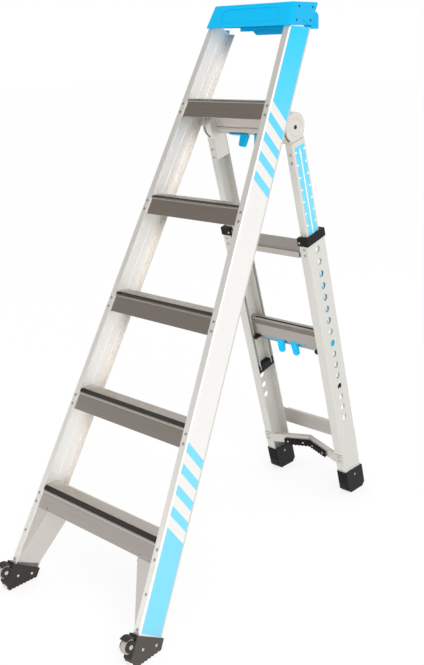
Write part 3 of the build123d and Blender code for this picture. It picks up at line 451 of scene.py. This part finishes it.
def matrix(origin: Array, x_axis: Array, y_axis: Array, z_axis: Array) -> Array:
    """A place from its origin and its three axes.

    Args:
        origin: Where it stands.
        x_axis: Its x axis.
        y_axis: Its y axis.
        z_axis: Its z axis.

    Returns:
        The 4 by 4 place.
    """
    place = np.eye(4)
    place[:3] = np.stack([x_axis, y_axis, z_axis, origin], -1)
    return place


def mirrored(place: Array) -> Array:
    """The left-hand copy of a place, with x reversed."""
    return np.diag([-1.0, 1.0, 1.0, 1.0]) @ place


def place_along(origin: Array, axis: Array) -> Array:
    """A place whose z axis points along a direction.

    Args:
        origin: Where it stands.
        axis: Its z axis, of length 1.

    Returns:
        The 4 by 4 place.
    """
    helper = np.array([0.0, 0.0, 1.0]) if abs(axis[2]) < STEEP else np.array([0.0, 1.0, 0.0])
    x_axis = np.cross(helper, axis)
    x_axis /= np.linalg.norm(x_axis)
    return matrix(origin, x_axis, np.cross(axis, x_axis), axis)


def show(mesh: Mesh, finish: Finish, body: str, sharp: float,
         replaces: tuple[str, ...]) -> bpy.types.Object:
    """Puts a mesh into the scene as a piece that rides on a body.

    Args:
        mesh: The mesh, in metres in the ladder's frame, which gives the piece its name.
        finish: Its finish.
        body: The body that carries it.
        sharp: Angle in degrees above which an edge stays sharp.
        replaces: The parts of the frame that it stands for.

    Returns:
        The new object.
    """
    mesh.polygons.foreach_set("use_smooth", [True] * len(mesh.polygons))
    mesh.set_sharp_from_angle(angle=math.radians(sharp))
    mesh.materials.clear()
    mesh.materials.append(finish.build())
    piece = bpy.data.objects.new(mesh.name, mesh)
    bpy.context.scene.collection.objects.link(piece)
    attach(piece, body)
    if replaces:
        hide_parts(*replaces)
    LOG.info("%s on %s, %d faces", piece.name, body, len(mesh.polygons))
    return piece


def make_piece(name: str, surface: Surface, finish: Finish, body: str, sharp: float = 40.0,
               replaces: tuple[str, ...] = ()) -> None:
    """Turns a surface to a piece that rides on a body.

    Args:
        name: The piece's name.
        surface: Its points and faces, in metres in the ladder's frame.
        finish: Its finish.
        body: The body that carries it.
        sharp: Angle in degrees above which an edge stays sharp.
        replaces: The parts of the frame that it stands for.
    """
    mesh = bpy.data.meshes.new(name)
    mesh.from_pydata(surface.points.tolist(), [], surface.quads.tolist() + surface.polygons)
    shell = bmesh.new()
    shell.from_mesh(mesh)
    bmesh.ops.remove_doubles(shell, verts=shell.verts, dist=WELD)
    bmesh.ops.recalc_face_normals(shell, faces=shell.faces)
    shell.to_mesh(mesh)
    shell.free()
    show(mesh, finish, body, sharp, replaces)


def solids_of(node: str) -> list[Array]:
    """Corners of each separate solid in a part of the frame.

    Corners that coincide are welded, and each takes the lowest number among those it shares a face with,
    pass after pass, until every solid has one number.

    Args:
        node: The part's name.

    Returns:
        One array of corners for each solid, in metres.
    """
    mesh = frame["nodes"][node].data
    corners = np.zeros(len(mesh.vertices) * 3)
    mesh.vertices.foreach_get("co", corners)
    triangles = np.zeros(len(mesh.polygons) * 3, int)
    mesh.polygons.foreach_get("vertices", triangles)
    rounded = np.round(corners.reshape(-1, 3), CORNER_DECIMALS)
    welded, numbers = np.unique(rounded, axis=0, return_inverse=True)
    triangles = numbers.ravel()[triangles].reshape(-1, 3)
    labels = np.arange(len(welded))
    changed = True
    while changed:
        before = labels.copy()
        np.minimum.at(labels, triangles.ravel(), np.repeat(labels[triangles].min(1), 3))
        labels = labels[labels]
        changed = bool((labels != before).any())
    return [welded[labels == label] for label in np.unique(labels)]


def head_place(corners: Array) -> Array:
    """Where a fastener's head stands: the middle of its seat, with z out of the surface.

    The axis is the direction of least spread, and the seat is the wider end.

    Args:
        corners: The head's corners.

    Returns:
        The 4 by 4 place.
    """
    centre = corners.mean(0)
    axis = np.linalg.svd(corners - centre, full_matrices=False)[2][2]
    height = (corners - centre) @ axis
    radius = np.linalg.norm(corners - centre - height[:, None] * axis, axis=1)
    if height[radius > RIM_SHARE * radius.max()].mean() > height.mean() + RIM_RISE:
        axis, height = -axis, -height
    return place_along(centre + height.min() * axis, axis)


def two_tone(node: str, plain: Finish, axis: Vector, depth: float, colour: str) -> Finish:
    """A part's finish in two tones, the second at its far end along an axis.

    Args:
        node: The part of the frame.
        plain: Its finish before that end.
        axis: The direction, of length 1.
        depth: How far the second tone reaches back from the end, in millimetres.
        colour: The second tone.

    Returns:
        The finish with the fade.
    """
    end = float((np.concatenate(solids_of(node)) @ np.array(axis)).max())
    fade = Fade(axis, end - depth * MM, end - (depth - TONE_BLEND) * MM, colour)
    return replace(plain, title=f"{plain.title}_{node}", fade=fade)


@dataclass
class Fasteners:
    """Rivet and screw heads, each where its plain head stands in the frame. Sizes in millimetres.

    Rings, rims, falls, arms, slopes, tapers and profiles are shares of the head's own radius or height.
    """

    segments: int = 24
    rivet_radius: float = 4.2
    rivet_height: float = 1.5
    rivet_rings: tuple[float, ...] = (1.0, 1.0, 0.93, 0.8, 0.6)
    rivet_rim: tuple[float, ...] = (0.0, 0.25, 0.45)
    rivet_crown: float = 1.05
    mandrel_radius: float = 1.2
    mandrel_depth: float = 0.7
    mandrel_taper: float = 0.85
    screw_radius: float = 3.4
    screw_height: float = 1.3
    screw_rings: tuple[float, ...] = (1.0, 1.0, 0.94, 0.8, 0.6, 0.42, 0.25, 0.1)
    screw_fall: float = 0.7
    recess_share: float = 0.55
    recess_slope: float = 0.1
    recess_depth: float = 0.8
    arm_half: float = 0.16
    arm_slope: float = 0.06
    bolt_radius: float = 4.5
    bolt_height: float = 4.0
    bolt_sides: int = 6
    bolt_profile: tuple[tuple[float, float], ...] = ((1.0, 0.0), (1.0, 0.8), (0.88, 1.0), (0.5, 1.0))
    dull_rivets: tuple[str, ...] = ("tread_rivets", "knee_brace_rivets", "hinge_bracket_rivets",
                                    "rear_upper_rivets", "rear_lower_rivets")
    bright_rivets: tuple[str, ...] = ("front_foot_rivets",)
    dark_screws: tuple[str, ...] = ("top_cap_screws",)
    bright_screws: tuple[str, ...] = ("guide_screws", "wall_bar_screws")
    bolts: tuple[str, ...] = ("wall_rest_bolts",)

    def rivet(self) -> Surface:
        """A blind rivet's domed head, with the mandrel's hollow in its crown.

        The dome's height over the seat falls with the square of the radius, down to a steeper rim.

        Returns:
            The head at the origin.
        """
        radius = np.array([*self.rivet_rings, self.mandrel_radius / self.rivet_radius]) * self.rivet_radius
        height = self.rivet_height * (self.rivet_crown - (radius / self.rivet_radius) ** 2)
        height[:len(self.rivet_rim)] = np.array(self.rivet_rim) * self.rivet_height
        hollow = [[self.mandrel_radius * self.mandrel_taper, height[-1] - self.mandrel_depth]]
        profile = np.vstack([np.stack([radius, height], -1), hollow])
        return revolved(profile * MM, self.segments)

    def screw(self) -> Surface:
        """A pan head with a cross recess.

        The height falls with the fourth power of the radius, and sinks where the distance to one of the two
        cross arms is small.

        Returns:
            The head at the origin.
        """
        rings = np.array(self.screw_rings)[:, None]
        angle = (np.arange(self.segments) * 2 * math.pi / self.segments)[None]
        x, y = rings * np.cos(angle), rings * np.sin(angle)
        height = self.screw_height * (1.0 - self.screw_fall * rings ** 4) + 0 * angle
        arm = np.clip((self.arm_half - np.minimum(np.abs(x), np.abs(y))) / self.arm_slope, 0, 1)
        reach = np.clip((self.recess_share - rings) / self.recess_slope, 0, 1)
        height = height - self.recess_depth * (arm * reach)
        height[0] = 0.0
        points = np.stack([x * self.screw_radius, y * self.screw_radius, height], -1).reshape(-1, 3)
        surface = revolved(np.hstack([rings, rings]), self.segments)
        return Surface(points * MM, surface.quads, surface.polygons)

    def hexagon(self) -> Surface:
        """A hexagon bolt head: a slab with six corners and a smaller chamfered crown."""
        profile = np.array(self.bolt_profile) * [self.bolt_radius, self.bolt_height]
        return revolved(profile * MM, self.bolt_sides)

    def build(self, bodies: dict[str, str]) -> None:
        """Makes all groups.

        Args:
            bodies: Body of each part.
        """
        rivet, screw, bolt = self.rivet(), self.screw(), self.hexagon()
        kinds = ((rivet, RIVET_FINISH, self.dull_rivets), (rivet, ZINC_FINISH, self.bright_rivets),
                 (screw, OXIDE_FINISH, self.dark_screws), (screw, ZINC_FINISH, self.bright_screws),
                 (bolt, ZINC_FINISH, self.bolts))
        for shape, finish, groups in kinds:
            for node in groups:
                heads = placed(shape, np.array([head_place(corners) for corners in solids_of(node)]))
                make_piece(f"{node}_heads", heads, finish, bodies[node], replaces=(node,))


@dataclass
class SpanBolts:
    """Bolts from side to side: a shaft with a domed, socketed head at its ends. Sizes in millimetres.

    The dome gives radius and depth as shares of the head's own.
    """

    segments: int = 32
    shaft_radius: float = 4.0
    head_radius: float = 6.5
    head_height: float = 2.0
    dome: tuple[tuple[float, float], ...] = ((0.75, 0.1), (0.94, 0.45), (1.0, 0.8), (1.0, 1.0))
    socket_radius: float = 2.6
    socket_depth: float = 1.4
    centre_radius: float = 0.2
    sharp: float = 30.0
    finish: Finish = ZINC_FINISH

    def bolt(self, length: float, heads: tuple[bool, bool]) -> Surface:
        """One bolt along z, from 0 to its length: its profile turned about z.

        Args:
            length: Whole length in metres.
            heads: Whether the lower and the upper end have a head.

        Returns:
            The closed surface.
        """
        socket = [[self.centre_radius, self.socket_depth], [self.socket_radius, self.socket_depth],
                  [self.socket_radius, 0.0]]
        dome = np.array(self.dome) * [self.head_radius, self.head_height]
        head = np.vstack([socket, dome, [[self.shaft_radius, self.head_height]]]) * MM
        plain = np.array([[self.centre_radius, 0.0], [self.shaft_radius, 0.0]]) * MM
        low, high = (head if has_head else plain for has_head in heads)
        return revolved(np.vstack([low, high[::-1] * [1, -1] + [0, length]]), self.segments)

    def build(self, node: str, body: str, two_heads: bool) -> None:
        """Replaces a group of plain bolts.

        Args:
            node: The group in the frame.
            body: The body that carries it.
            two_heads: Whether both ends have a head, or only the outer one.
        """
        parts = []
        for corners in solids_of(node):
            centre = corners.mean(0)
            axis = np.linalg.svd(corners - centre, full_matrices=False)[2][0]
            axis = axis * np.sign(axis[0]) * np.sign(centre[0])
            reach = (corners - centre) @ axis
            start = centre + axis * reach.min()
            shape = self.bolt(reach.max() - reach.min(), (two_heads, True))
            parts.append(placed(shape, place_along(start, axis)[None]))
        make_piece(f"{node}_turned", joined(parts), self.finish, body, self.sharp, (node,))


@dataclass
class Stance:
    """The ladder's own planes, from the joints of the frame. Lengths in metres, angles in radians."""

    front_lean: float = math.radians(62.0)
    base_half_width: float = 276.0 * MM
    flare: float = 0.072
    hinge_height: float = 1500.0 * MM
    hinge_depth: float = 139.0 * MM
    inner_stile_face: float = 161.5 * MM

    def joint(self, name: str) -> dict[str, Any]:
        """A joint of the frame by its name."""
        return next(joint for joint in frame["joints"] if joint["name"] == name)

    def front_web(self) -> Array:
        """The right front stile's outer face, zero at the floor: x to the back, y up the stile, z outwards.

        Returns:
            The 4 by 4 place.
        """
        sine, cosine = math.sin(self.front_lean), math.cos(self.front_lean)
        _, pivot_y, _ = self.joint("rear_fold")["pos_m"]
        floor_y = pivot_y - self.hinge_depth * sine - self.hinge_height * cosine
        long = 1 / math.hypot(1, self.flare)
        x_axis = np.array([0, sine, -cosine])
        y_axis = np.array([-self.flare * long, long * cosine, long * sine])
        z_axis = np.array([long, self.flare * long * cosine, self.flare * long * sine])
        return matrix(np.array([self.base_half_width, floor_y, 0]), x_axis, y_axis, z_axis)

    def inner_web(self) -> Array:
        """The right inner stile's outer face, zero at the pivot: x to the back, y down the stile, z outwards.

        Returns:
            The 4 by 4 place.
        """
        _, pivot_y, pivot_z = self.joint("rear_fold")["pos_m"]
        down = np.array(self.joint("height_adjust")["axis"])
        back = np.array([0, -down[2], down[1]])
        return matrix(np.array([self.inner_stile_face, pivot_y, pivot_z]), back, down, np.array([1.0, 0, 0]))


@dataclass
class StileFilm:
    """Blue film on the front stiles: a bare panel at each end, slanting stripes beside it, and an edge strip of
    painted shade.

    Sizes in millimetres.
    """

    stance: Stance
    film: float = 0.2
    front: float = 4.5
    back: float = 82.5
    edge_back: float = 87.5
    edge_height: float = 0.1
    stripes: int = 4
    stripe_height: float = 25.3
    pitch: float = 55.3
    upper_edge: float = 1521.3
    upper_fall: float = 26.5
    upper_end: float = 1738.0
    upper_rise: float = 38.0
    lower_edge: float = 363.7
    lower_fall: float = 38.5
    lower_end: float = 93.0
    end_fall: float = 10.0

    def band(self, top: float, bottom: float, top_fall: float, bottom_fall: float) -> Surface:
        """A band across the web with slanting edges.

        Args:
            top: Height of its upper edge at the front.
            bottom: Height of its lower edge at the front.
            top_fall: How much lower the upper edge is at the back.
            bottom_fall: How much lower the lower edge is at the back.

        Returns:
            The band as a thin closed prism.
        """
        outline = np.array([[self.front, bottom], [self.back, bottom - bottom_fall],
                            [self.back, top - top_fall], [self.front, top]])
        return slab(outline * MM, FILM_GAP, self.film * MM)

    def edge(self) -> Surface:
        """The strip between the film and the rounded edge at the back, along the whole stile, in a darker tone of
        painted shade.
        """
        low, high = self.lower_end - self.end_fall, self.upper_end + self.upper_rise
        return slab(rectangle(self.back, self.edge_back, low, high), FILM_GAP, self.edge_height * MM)

    def surface(self) -> Surface:
        """All bands of one stile.

        Returns:
            The bands in the web's frame.
        """
        bands = [self.band(self.upper_end, self.upper_edge, -self.upper_rise, self.upper_fall),
                 self.band(self.lower_edge, self.lower_end, self.lower_fall, self.end_fall)]
        for number in range(self.stripes):
            top = self.upper_edge - (number + 1) * self.pitch + self.stripe_height
            bands.append(self.band(top, top - self.stripe_height, self.upper_fall, self.upper_fall))
            low = self.lower_edge + (number + 1) * self.pitch - self.stripe_height
            bands.append(self.band(low + self.stripe_height, low, self.lower_fall, self.lower_fall))
        return joined(bands)

    def build(self) -> None:
        """Makes film and edge strip of both stiles."""
        place = self.stance.front_web()
        # The edge strip is painted shade: a darker tone of the stile's metal along its rounded back edge
        kinds = (("film", self.surface(), FILM_FINISH, Slot.BLUE),
                 ("edge", self.edge(), EDGE_SHADE_FINISH, Slot.STILE))
        for side in Side:
            where = (place if side is Side.RIGHT else mirrored(place))[None]
            for word, shape, finish, slot in kinds:
                make_piece(f"stile_{word}_{side.word}", placed(shape, where), finish, "front_frame")


@dataclass
class ScaleFilm:
    """Blue setting scale on the inner rear stiles: an arrow that points up, paired marks and white fields; the
    upper field is white print, the two lower ones are painted light on the bare metal seen through the holes.

    Sizes in millimetres.
    """

    stance: Stance
    film: float = 0.2
    print_height: float = 0.08
    half_width: float = 22.5
    top: float = 54.0
    end: float = 352.0
    second_top: float = 440.0
    second_end: float = 650.0
    mark_first: float = 70.0
    mark_pitch: float = 37.3
    mark_count: int = 8
    mark_reach: float = 9.0
    mark_height: float = 5.0
    mark_foot: float = 0.4
    line_half: float = 2.0
    second_shift: float = 4.5
    # The first field is white print; the two lower ones are painted light: white sheets on bare metal that stand
    # in for light in the gap behind the outer stile's holes
    print_and_lit_fields: tuple[tuple[float, float], ...] = ((352.0, 440.0), (650.0, 694.0), (724.0, 853.0))
    arrow_tip: float = 60.0
    arrow_length: float = 18.0
    arrow_half: float = 4.6

    def sheet(self, top: float, end: float) -> Surface:
        """One rectangle of film between two distances below the pivot, as a thin closed prism."""
        outline = rectangle(-self.half_width, self.half_width, top, end)
        return slab(outline, FILM_GAP, self.film * MM)

    def marks(self) -> Surface:
        """Arrow, line, white fields and the marks at both edges; the two lower fields are painted light.

        Returns:
            The print in the web's frame.
        """
        low, high = self.film * MM, (self.film + self.print_height) * MM
        neck, line = self.arrow_tip + self.arrow_length, self.line_half
        arrow = np.array([[0, self.arrow_tip], [self.arrow_half, neck], [line, neck], [line, self.end],
                          [-line, self.end], [-line, neck], [-self.arrow_half, neck]])
        left, right = self.second_shift - line, self.second_shift + line
        second = rectangle(left, right, self.second_top, self.second_end)
        parts = [slab(arrow * MM, low, high), slab(second, low, high)]
        parts += [self.sheet(top, end) for top, end in self.print_and_lit_fields]
        for number in range(self.mark_count):
            level = self.mark_first + number * self.mark_pitch
            for edge in (-1, 1):
                tick = np.array([[edge * self.half_width, level - self.mark_height],
                                 [edge * (self.half_width - self.mark_reach), level],
                                 [edge * self.half_width, level + self.mark_foot * self.mark_height]])
                parts.append(slab(tick * MM, low, high))
        return joined(parts)

    def build(self) -> None:
        """Makes film and print of both stiles."""
        place = self.stance.inner_web()
        films = joined([self.sheet(self.top, self.end), self.sheet(self.second_top, self.second_end)])
        # The print piece also holds the white sheets of painted light
        kinds = (("film", films, FILM_FINISH), ("print", self.marks(), PRINT_FINISH))
        for side in Side:
            where = (place if side is Side.RIGHT else mirrored(place))[None]
            for word, shape, finish in kinds:
                make_piece(f"scale_{word}_{side.word}", placed(shape, where), finish, "rear_upper")


@dataclass
class Mouldings:
    """Moulded parts with edges rounded as a mould leaves them. Sizes in millimetres, angles in degrees."""

    round_width: dict[str, float] = field(default_factory=lambda: {
        "top_cap": 1.5, "wall_rest": 1.0, "front_foot_left": 1.2, "front_foot_right": 1.2,
        "rear_foot_left": 1.2, "rear_foot_right": 1.2, "guide_left": 0.8, "guide_right": 0.8,
        "hinge_lock_lever_left": 0.8, "hinge_lock_lever_right": 0.8, "slide_lock_lever_left": 0.8,
        "slide_lock_lever_right": 0.8})
    segments: int = 2
    angle: float = 34.0
    weld: float = 0.002
    flat: float = 0.5
    face_depth: float = 2.5
    face_colour: str = "4C4641"

    def tones(self, outwards: Array) -> dict[str, Finish]:
        """Finishes of the parts that differ from their slot: levers in a lighter blue of painted light, and boots
        with a paler face.

        Args:
            outwards: The direction that the right front stile's outer face looks to.

        Returns:
            The finish of each such part.
        """
        # The levers' lighter blue is painted light
        tones = {f"{lock}_lock_lever_{side.word}": LEVER_PAINTED_LIGHT_FINISH
                 for lock in ("hinge", "slide") for side in Side}
        for side in Side:
            foot = f"front_foot_{side.word}"
            axis = (float(outwards[0]) * side.value, float(outwards[1]), float(outwards[2]))
            tones[foot] = two_tone(foot, FOOT_FINISH, axis, self.face_depth, self.face_colour)
        return tones

    def build(self, slots: dict[str, Slot], bodies: dict[str, str], outwards: Array) -> None:
        """Replaces each part by a copy with welded corners and a live bevel.

        Args:
            slots: Material slot of each part.
            bodies: Body of each part.
            outwards: The direction that the right front stile's outer face looks to.
        """
        tones = self.tones(outwards)
        for node, width in self.round_width.items():
            mesh = frame["nodes"][node].data.copy()
            mesh.name = f"{node}_moulded"
            shell = bmesh.new()
            shell.from_mesh(mesh)
            bmesh.ops.remove_doubles(shell, verts=shell.verts, dist=self.weld * MM)
            bmesh.ops.dissolve_limit(shell, angle_limit=math.radians(self.flat), verts=shell.verts,
                                     edges=shell.edges)
            shell.to_mesh(mesh)
            shell.free()
            finish = tones.get(node, SLOT_FINISH[slots[node]])
            piece = show(mesh, finish, bodies[node], self.angle, (node,))
            bevel = piece.modifiers.new("rounding", "BEVEL")
            bevel.width = width * MM
            bevel.segments = self.segments
            bevel.limit_method = "ANGLE"
            bevel.angle_limit = math.radians(self.angle)
            bevel.harden_normals = True


@dataclass
class TreadBeads:
    """A round bead along each tread's upper front edge, ahead of its grip strip. Sizes in millimetres."""

    radius: float = 3.2
    inset: float = 0.43
    drop: float = 2.6
    segments: int = 16
    near: float = 0.2
    face_grain: Grain = Grain.FRONT_STILE

    def rod(self, tread: str) -> Surface:
        """The bead of one tread: a rod below the edge where the front face meets the top.

        Args:
            tread: The tread's name.

        Returns:
            The rod along x, between the ends of that edge.
        """
        corners = np.concatenate(solids_of(tread))
        ahead = -np.array(self.face_grain.depth_axis)
        reach = corners @ ahead
        face = corners[reach > reach.max() - self.near * MM]
        edge = face[face[:, 2] > face[:, 2].max() - self.near * MM]
        start = np.array([edge[:, 0].min(), edge[0, 1] + self.inset * MM, edge[0, 2] - self.drop * MM])
        profile = np.array([[self.radius * MM, 0.0], [self.radius * MM, np.ptp(edge[:, 0])]])
        place = place_along(start, np.array([1.0, 0.0, 0.0]))
        return placed(revolved(profile, self.segments), place[None])

    def build(self) -> None:
        """Makes the beads of all treads as one piece."""
        rods = [self.rod(tread) for tread in TREADS]
        # The beads' finish is painted light and shade: bright on the lowest tread, darker higher up
        make_piece("tread_nosing_beads", joined(rods), BEAD_PAINTED_LIGHT_FINISH, "front_frame")


@dataclass
class Extrusions:
    """Every part that shows as it was built gets its finish. Sizes in millimetres."""

    # Painted light: a paler tone on each tread's top face, where light falls from above
    top_light_depth: float = 1.6
    top_colour: str = "DFDAD3"
    # Painted shade: a darker tone on the back of each front stile, over its rounded back edge and back face
    back_shade_depth: float = 4.0
    back_colour: str = "E4DED8"
    rung_depth: float = 36.0
    rung_colour: str = "9A958E"
    strip_depth: float = 9.0
    strip_colour: str = "A8A29B"
    stiles: dict[str, Grain] = field(default_factory=lambda: {
        "front_stile": Grain.FRONT_STILE, "inner_stile": Grain.REAR_STILE, "outer_stile": Grain.REAR_STILE})
    bars: tuple[str, ...] = ("hinge_rung", "rear_brace", "wall_bar", "knee_brace_left", "knee_brace_right")

    def tones(self) -> dict[str, Finish]:
        """Finishes of the parts that differ from their slot, with painted shade on the front stiles' backs and
        painted light on the treads.

        Returns:
            The finish of each such part.
        """
        stiles = {f"{stile}_{side.word}": STILE_FINISH[grain]
                  for stile, grain in self.stiles.items() for side in Side}
        backwards = Grain.FRONT_STILE.depth_axis
        # The back of each front stile gets painted shade
        for side in Side:
            stile = f"front_stile_{side.word}"
            stiles[stile] = two_tone(stile, stiles[stile], backwards, self.back_shade_depth, self.back_colour)
        bars = {bar: BAR_FINISH for bar in self.bars} | {"lever_rung": RUNG_FINISH}
        rung, strip = "outer_top_rung", "lever_rung_grip_strip"
        bars[rung] = two_tone(rung, TOP_RUNG_FINISH, UP, self.rung_depth, self.rung_colour)
        bars[strip] = two_tone(strip, GRIP_FINISH, AHEAD, self.strip_depth, self.strip_colour)
        # The lowest tread is painted brighter, as painted light
        plain = {tread: TREAD_FINISH for tread in TREADS} | {TREADS[-1]: LOW_TREAD_LIT_FINISH}
        # Each tread's top gets painted light
        treads = {tread: two_tone(tread, finish, UP, self.top_light_depth, self.top_colour)
                  for tread, finish in plain.items()}
        return stiles | bars | treads

    def build(self, slots: dict[str, Slot]) -> None:
        """Puts the finish of its slot, or its own, on each part.

        Args:
            slots: Material slot of each part.
        """
        special = self.tones()
        for node, slot in slots.items():
            finish = special.get(node, SLOT_FINISH[slot])
            materials = frame["nodes"][node].data.materials
            materials.clear()
            materials.append(finish.build())
            LOG.info("%s has %s", node, finish.title)


@dataclass(frozen=True)
class Lamp:
    """A square soft lamp. Lengths in metres."""

    name: str
    place: Vector
    aim: Vector
    size: float
    watts: float

    def build(self) -> None:
        """Puts the lamp at its place, turned to its aim."""
        data = bpy.data.lights.new(self.name, "AREA")
        data.energy, data.size = self.watts, self.size
        lamp = bpy.data.objects.new(self.name, data)
        place = np.array(self.place)
        back = place - np.array(self.aim)
        lamp.matrix_world = place_along(place, back / np.linalg.norm(back)).T.tolist()
        bpy.context.scene.collection.objects.link(lamp)


@dataclass
class Studio:
    """Pale floor, soft light and the camera. Lengths in metres, angles in degrees.

    The room's dim part grows with the cosine of the angle to its direction and with the sine of the height,
    each from a first value to a second.
    """

    camera_place: Vector = (1.71638, -1.83096, 1.47763)
    azimuth: float = 42.671
    elevation: float = 17.611
    roll: float = -1.523
    focal_pixels: float = 897.2
    view_depth: float = 100.0
    floor_half: float = 30.0
    shadow_share: float = 0.22
    ambient: float = 0.95
    dim_colour: str = "979089"
    dim_towards: Vector = (-0.70, -0.71, 0.0)
    dim_turn: tuple[float, float] = (0.1, 0.7)
    dim_height: tuple[float, float] = (0.04, 0.34)
    lamps: tuple[Lamp, ...] = (Lamp("key", (3.4, -2.0, 3.2), (0.0, 0.0, 0.8), 2.6, 70.0),
                               Lamp("fill", (0.5, -1.9, 0.25), (0.0, 0.2, 1.5), 1.2, 11.0))

    def camera(self) -> None:
        """Puts the camera at its place, looking along its azimuth and elevation, turned by its roll."""
        angles = (self.azimuth, self.elevation, self.roll)
        azimuth, elevation, roll = (math.radians(angle) for angle in angles)
        level = math.cos(elevation)
        back = np.array([math.sin(azimuth) * level, -math.cos(azimuth) * level, math.sin(elevation)])
        right = np.array([math.cos(azimuth), math.sin(azimuth), 0.0])
        up = np.cross(back, right)
        turned_right = right * math.cos(roll) + up * math.sin(roll)
        turned_up = up * math.cos(roll) - right * math.sin(roll)
        data = bpy.data.cameras.new("camera")
        data.sensor_fit = "VERTICAL"
        data.lens = self.focal_pixels * data.sensor_height / IMAGE_HEIGHT
        data.clip_end = self.view_depth
        camera = bpy.data.objects.new("camera", data)
        place = matrix(np.array(self.camera_place), turned_right, turned_up, back)
        camera.matrix_world = place.T.tolist()
        bpy.context.scene.collection.objects.link(camera)
        bpy.context.scene.camera = camera

    def floor(self) -> None:
        """A level floor, white to the eye, that keeps part of the ladder's shadow."""
        half = self.floor_half
        corners = [(-half, -half, 0), (half, -half, 0), (half, half, 0), (-half, half, 0)]
        mesh = bpy.data.meshes.new("floor")
        mesh.from_pydata(corners, [], [(0, 1, 2, 3)])
        material = bpy.data.materials.new("painted_floor_white")
        material.use_nodes = True
        tree = material.node_tree
        tree.nodes.remove(tree.nodes["Principled BSDF"])
        matt = add_node(tree, "ShaderNodeBsdfDiffuse", {"Color": linear(WHITE)})
        glow = add_node(tree, "ShaderNodeEmission", {"Color": linear(WHITE), "Strength": 1.0})
        share = add_node(tree, "ShaderNodeMath", {"operation": "MULTIPLY", 1: 1.0 - self.shadow_share},
                         _0=self.seen(tree))
        mixed = add_node(tree, "ShaderNodeMixShader", {}, _0=share.outputs[0], _1=matt.outputs[0],
                         _2=glow.outputs[0])
        tree.links.new(mixed.outputs[0], tree.nodes["Material Output"].inputs[0])
        mesh.materials.append(material)
        floor = bpy.data.objects.new("floor", mesh)
        bpy.context.scene.collection.objects.link(floor)

    def seen(self, tree: Tree) -> Socket:
        """One for rays from the camera, from gloss and through glass, and zero for others.

        Args:
            tree: The node tree.

        Returns:
            The socket with that value.
        """
        path = add_node(tree, "ShaderNodeLightPath", {})
        first = add_node(tree, "ShaderNodeMath", {"operation": "MAXIMUM"}, _0=path.outputs["Is Camera Ray"],
                         _1=path.outputs["Is Glossy Ray"])
        both = add_node(tree, "ShaderNodeMath", {"operation": "MAXIMUM"}, _0=first.outputs[0],
                        _1=path.outputs["Is Transmission Ray"])
        return both.outputs[0]

    def world(self) -> None:
        """White to the eye; gloss sees a white room, dim and warm above the horizon at the camera's left."""
        scene = bpy.context.scene
        scene.world = bpy.data.worlds.new("studio")
        scene.world.use_nodes = True
        tree = scene.world.node_tree
        white = linear(WHITE)
        place = add_node(tree, "ShaderNodeTexCoord", {}).outputs["Generated"]
        towards = add_node(tree, "ShaderNodeVectorMath", {"operation": "DOT_PRODUCT", 1: self.dim_towards},
                           _0=place)
        height = add_node(tree, "ShaderNodeSeparateXYZ", {}, Vector=place)
        spans = ((towards.outputs["Value"], self.dim_turn), (height.outputs["Z"], self.dim_height))
        shares = [add_node(tree, "ShaderNodeMapRange", {"interpolation_type": "SMOOTHSTEP", "From Min": low,
                                                        "From Max": high}, Value=value).outputs[0]
                  for value, (low, high) in spans]
        share = add_node(tree, "ShaderNodeMath", {"operation": "MULTIPLY"}, _0=shares[0], _1=shares[1])
        room = add_node(tree, "ShaderNodeMix", {"data_type": "RGBA", 6: white, 7: linear(self.dim_colour)},
                        _0=share.outputs[0])
        lit = add_node(tree, "ShaderNodeMix", {"data_type": "RGBA", 6: (*[self.ambient] * 3, 1.0)},
                       _0=self.seen(tree), _7=room.outputs[2])
        path = add_node(tree, "ShaderNodeLightPath", {})
        shown = add_node(tree, "ShaderNodeMix", {"data_type": "RGBA", 7: white},
                         _0=path.outputs["Is Camera Ray"], _6=lit.outputs[2])
        tree.links.new(shown.outputs[2], tree.nodes["Background"].inputs["Color"])

    def build(self) -> None:
        """Sets up the whole studio."""
        bpy.context.scene.view_settings.view_transform = "Standard"
        for step in (self.camera, self.floor, self.world, *(lamp.build for lamp in self.lamps)):
            step()


def main() -> None:
    """Builds the studio, dresses the frame and adds the fine pieces."""
    logging.basicConfig(level=logging.INFO, format="%(name)s: %(message)s")
    record = frame["record"]
    slots = {part["node"]: Slot(part["material_slot"]) for part in record["subparts"]}
    bodies = {node: body for body, nodes in record["behaviour"]["bodies"].items() for node in nodes}
    stance = Stance()
    Studio().build()
    Extrusions().build(slots)
    Mouldings().build(slots, bodies, stance.front_web()[:3, 2])
    Fasteners().build(bodies)
    SpanBolts().build("wheel_axles", "front_frame", True)
    pivots = SpanBolts(shaft_radius=5.0, head_radius=6.0, socket_radius=3.0, finish=OXIDE_FINISH)
    pivots.build("hinge_pivot_bolts", "rear_upper", False)
    TreadBeads().build()
    StileFilm(stance).build()
    ScaleFilm(stance).build()


if __name__ == "__main__":
    main()
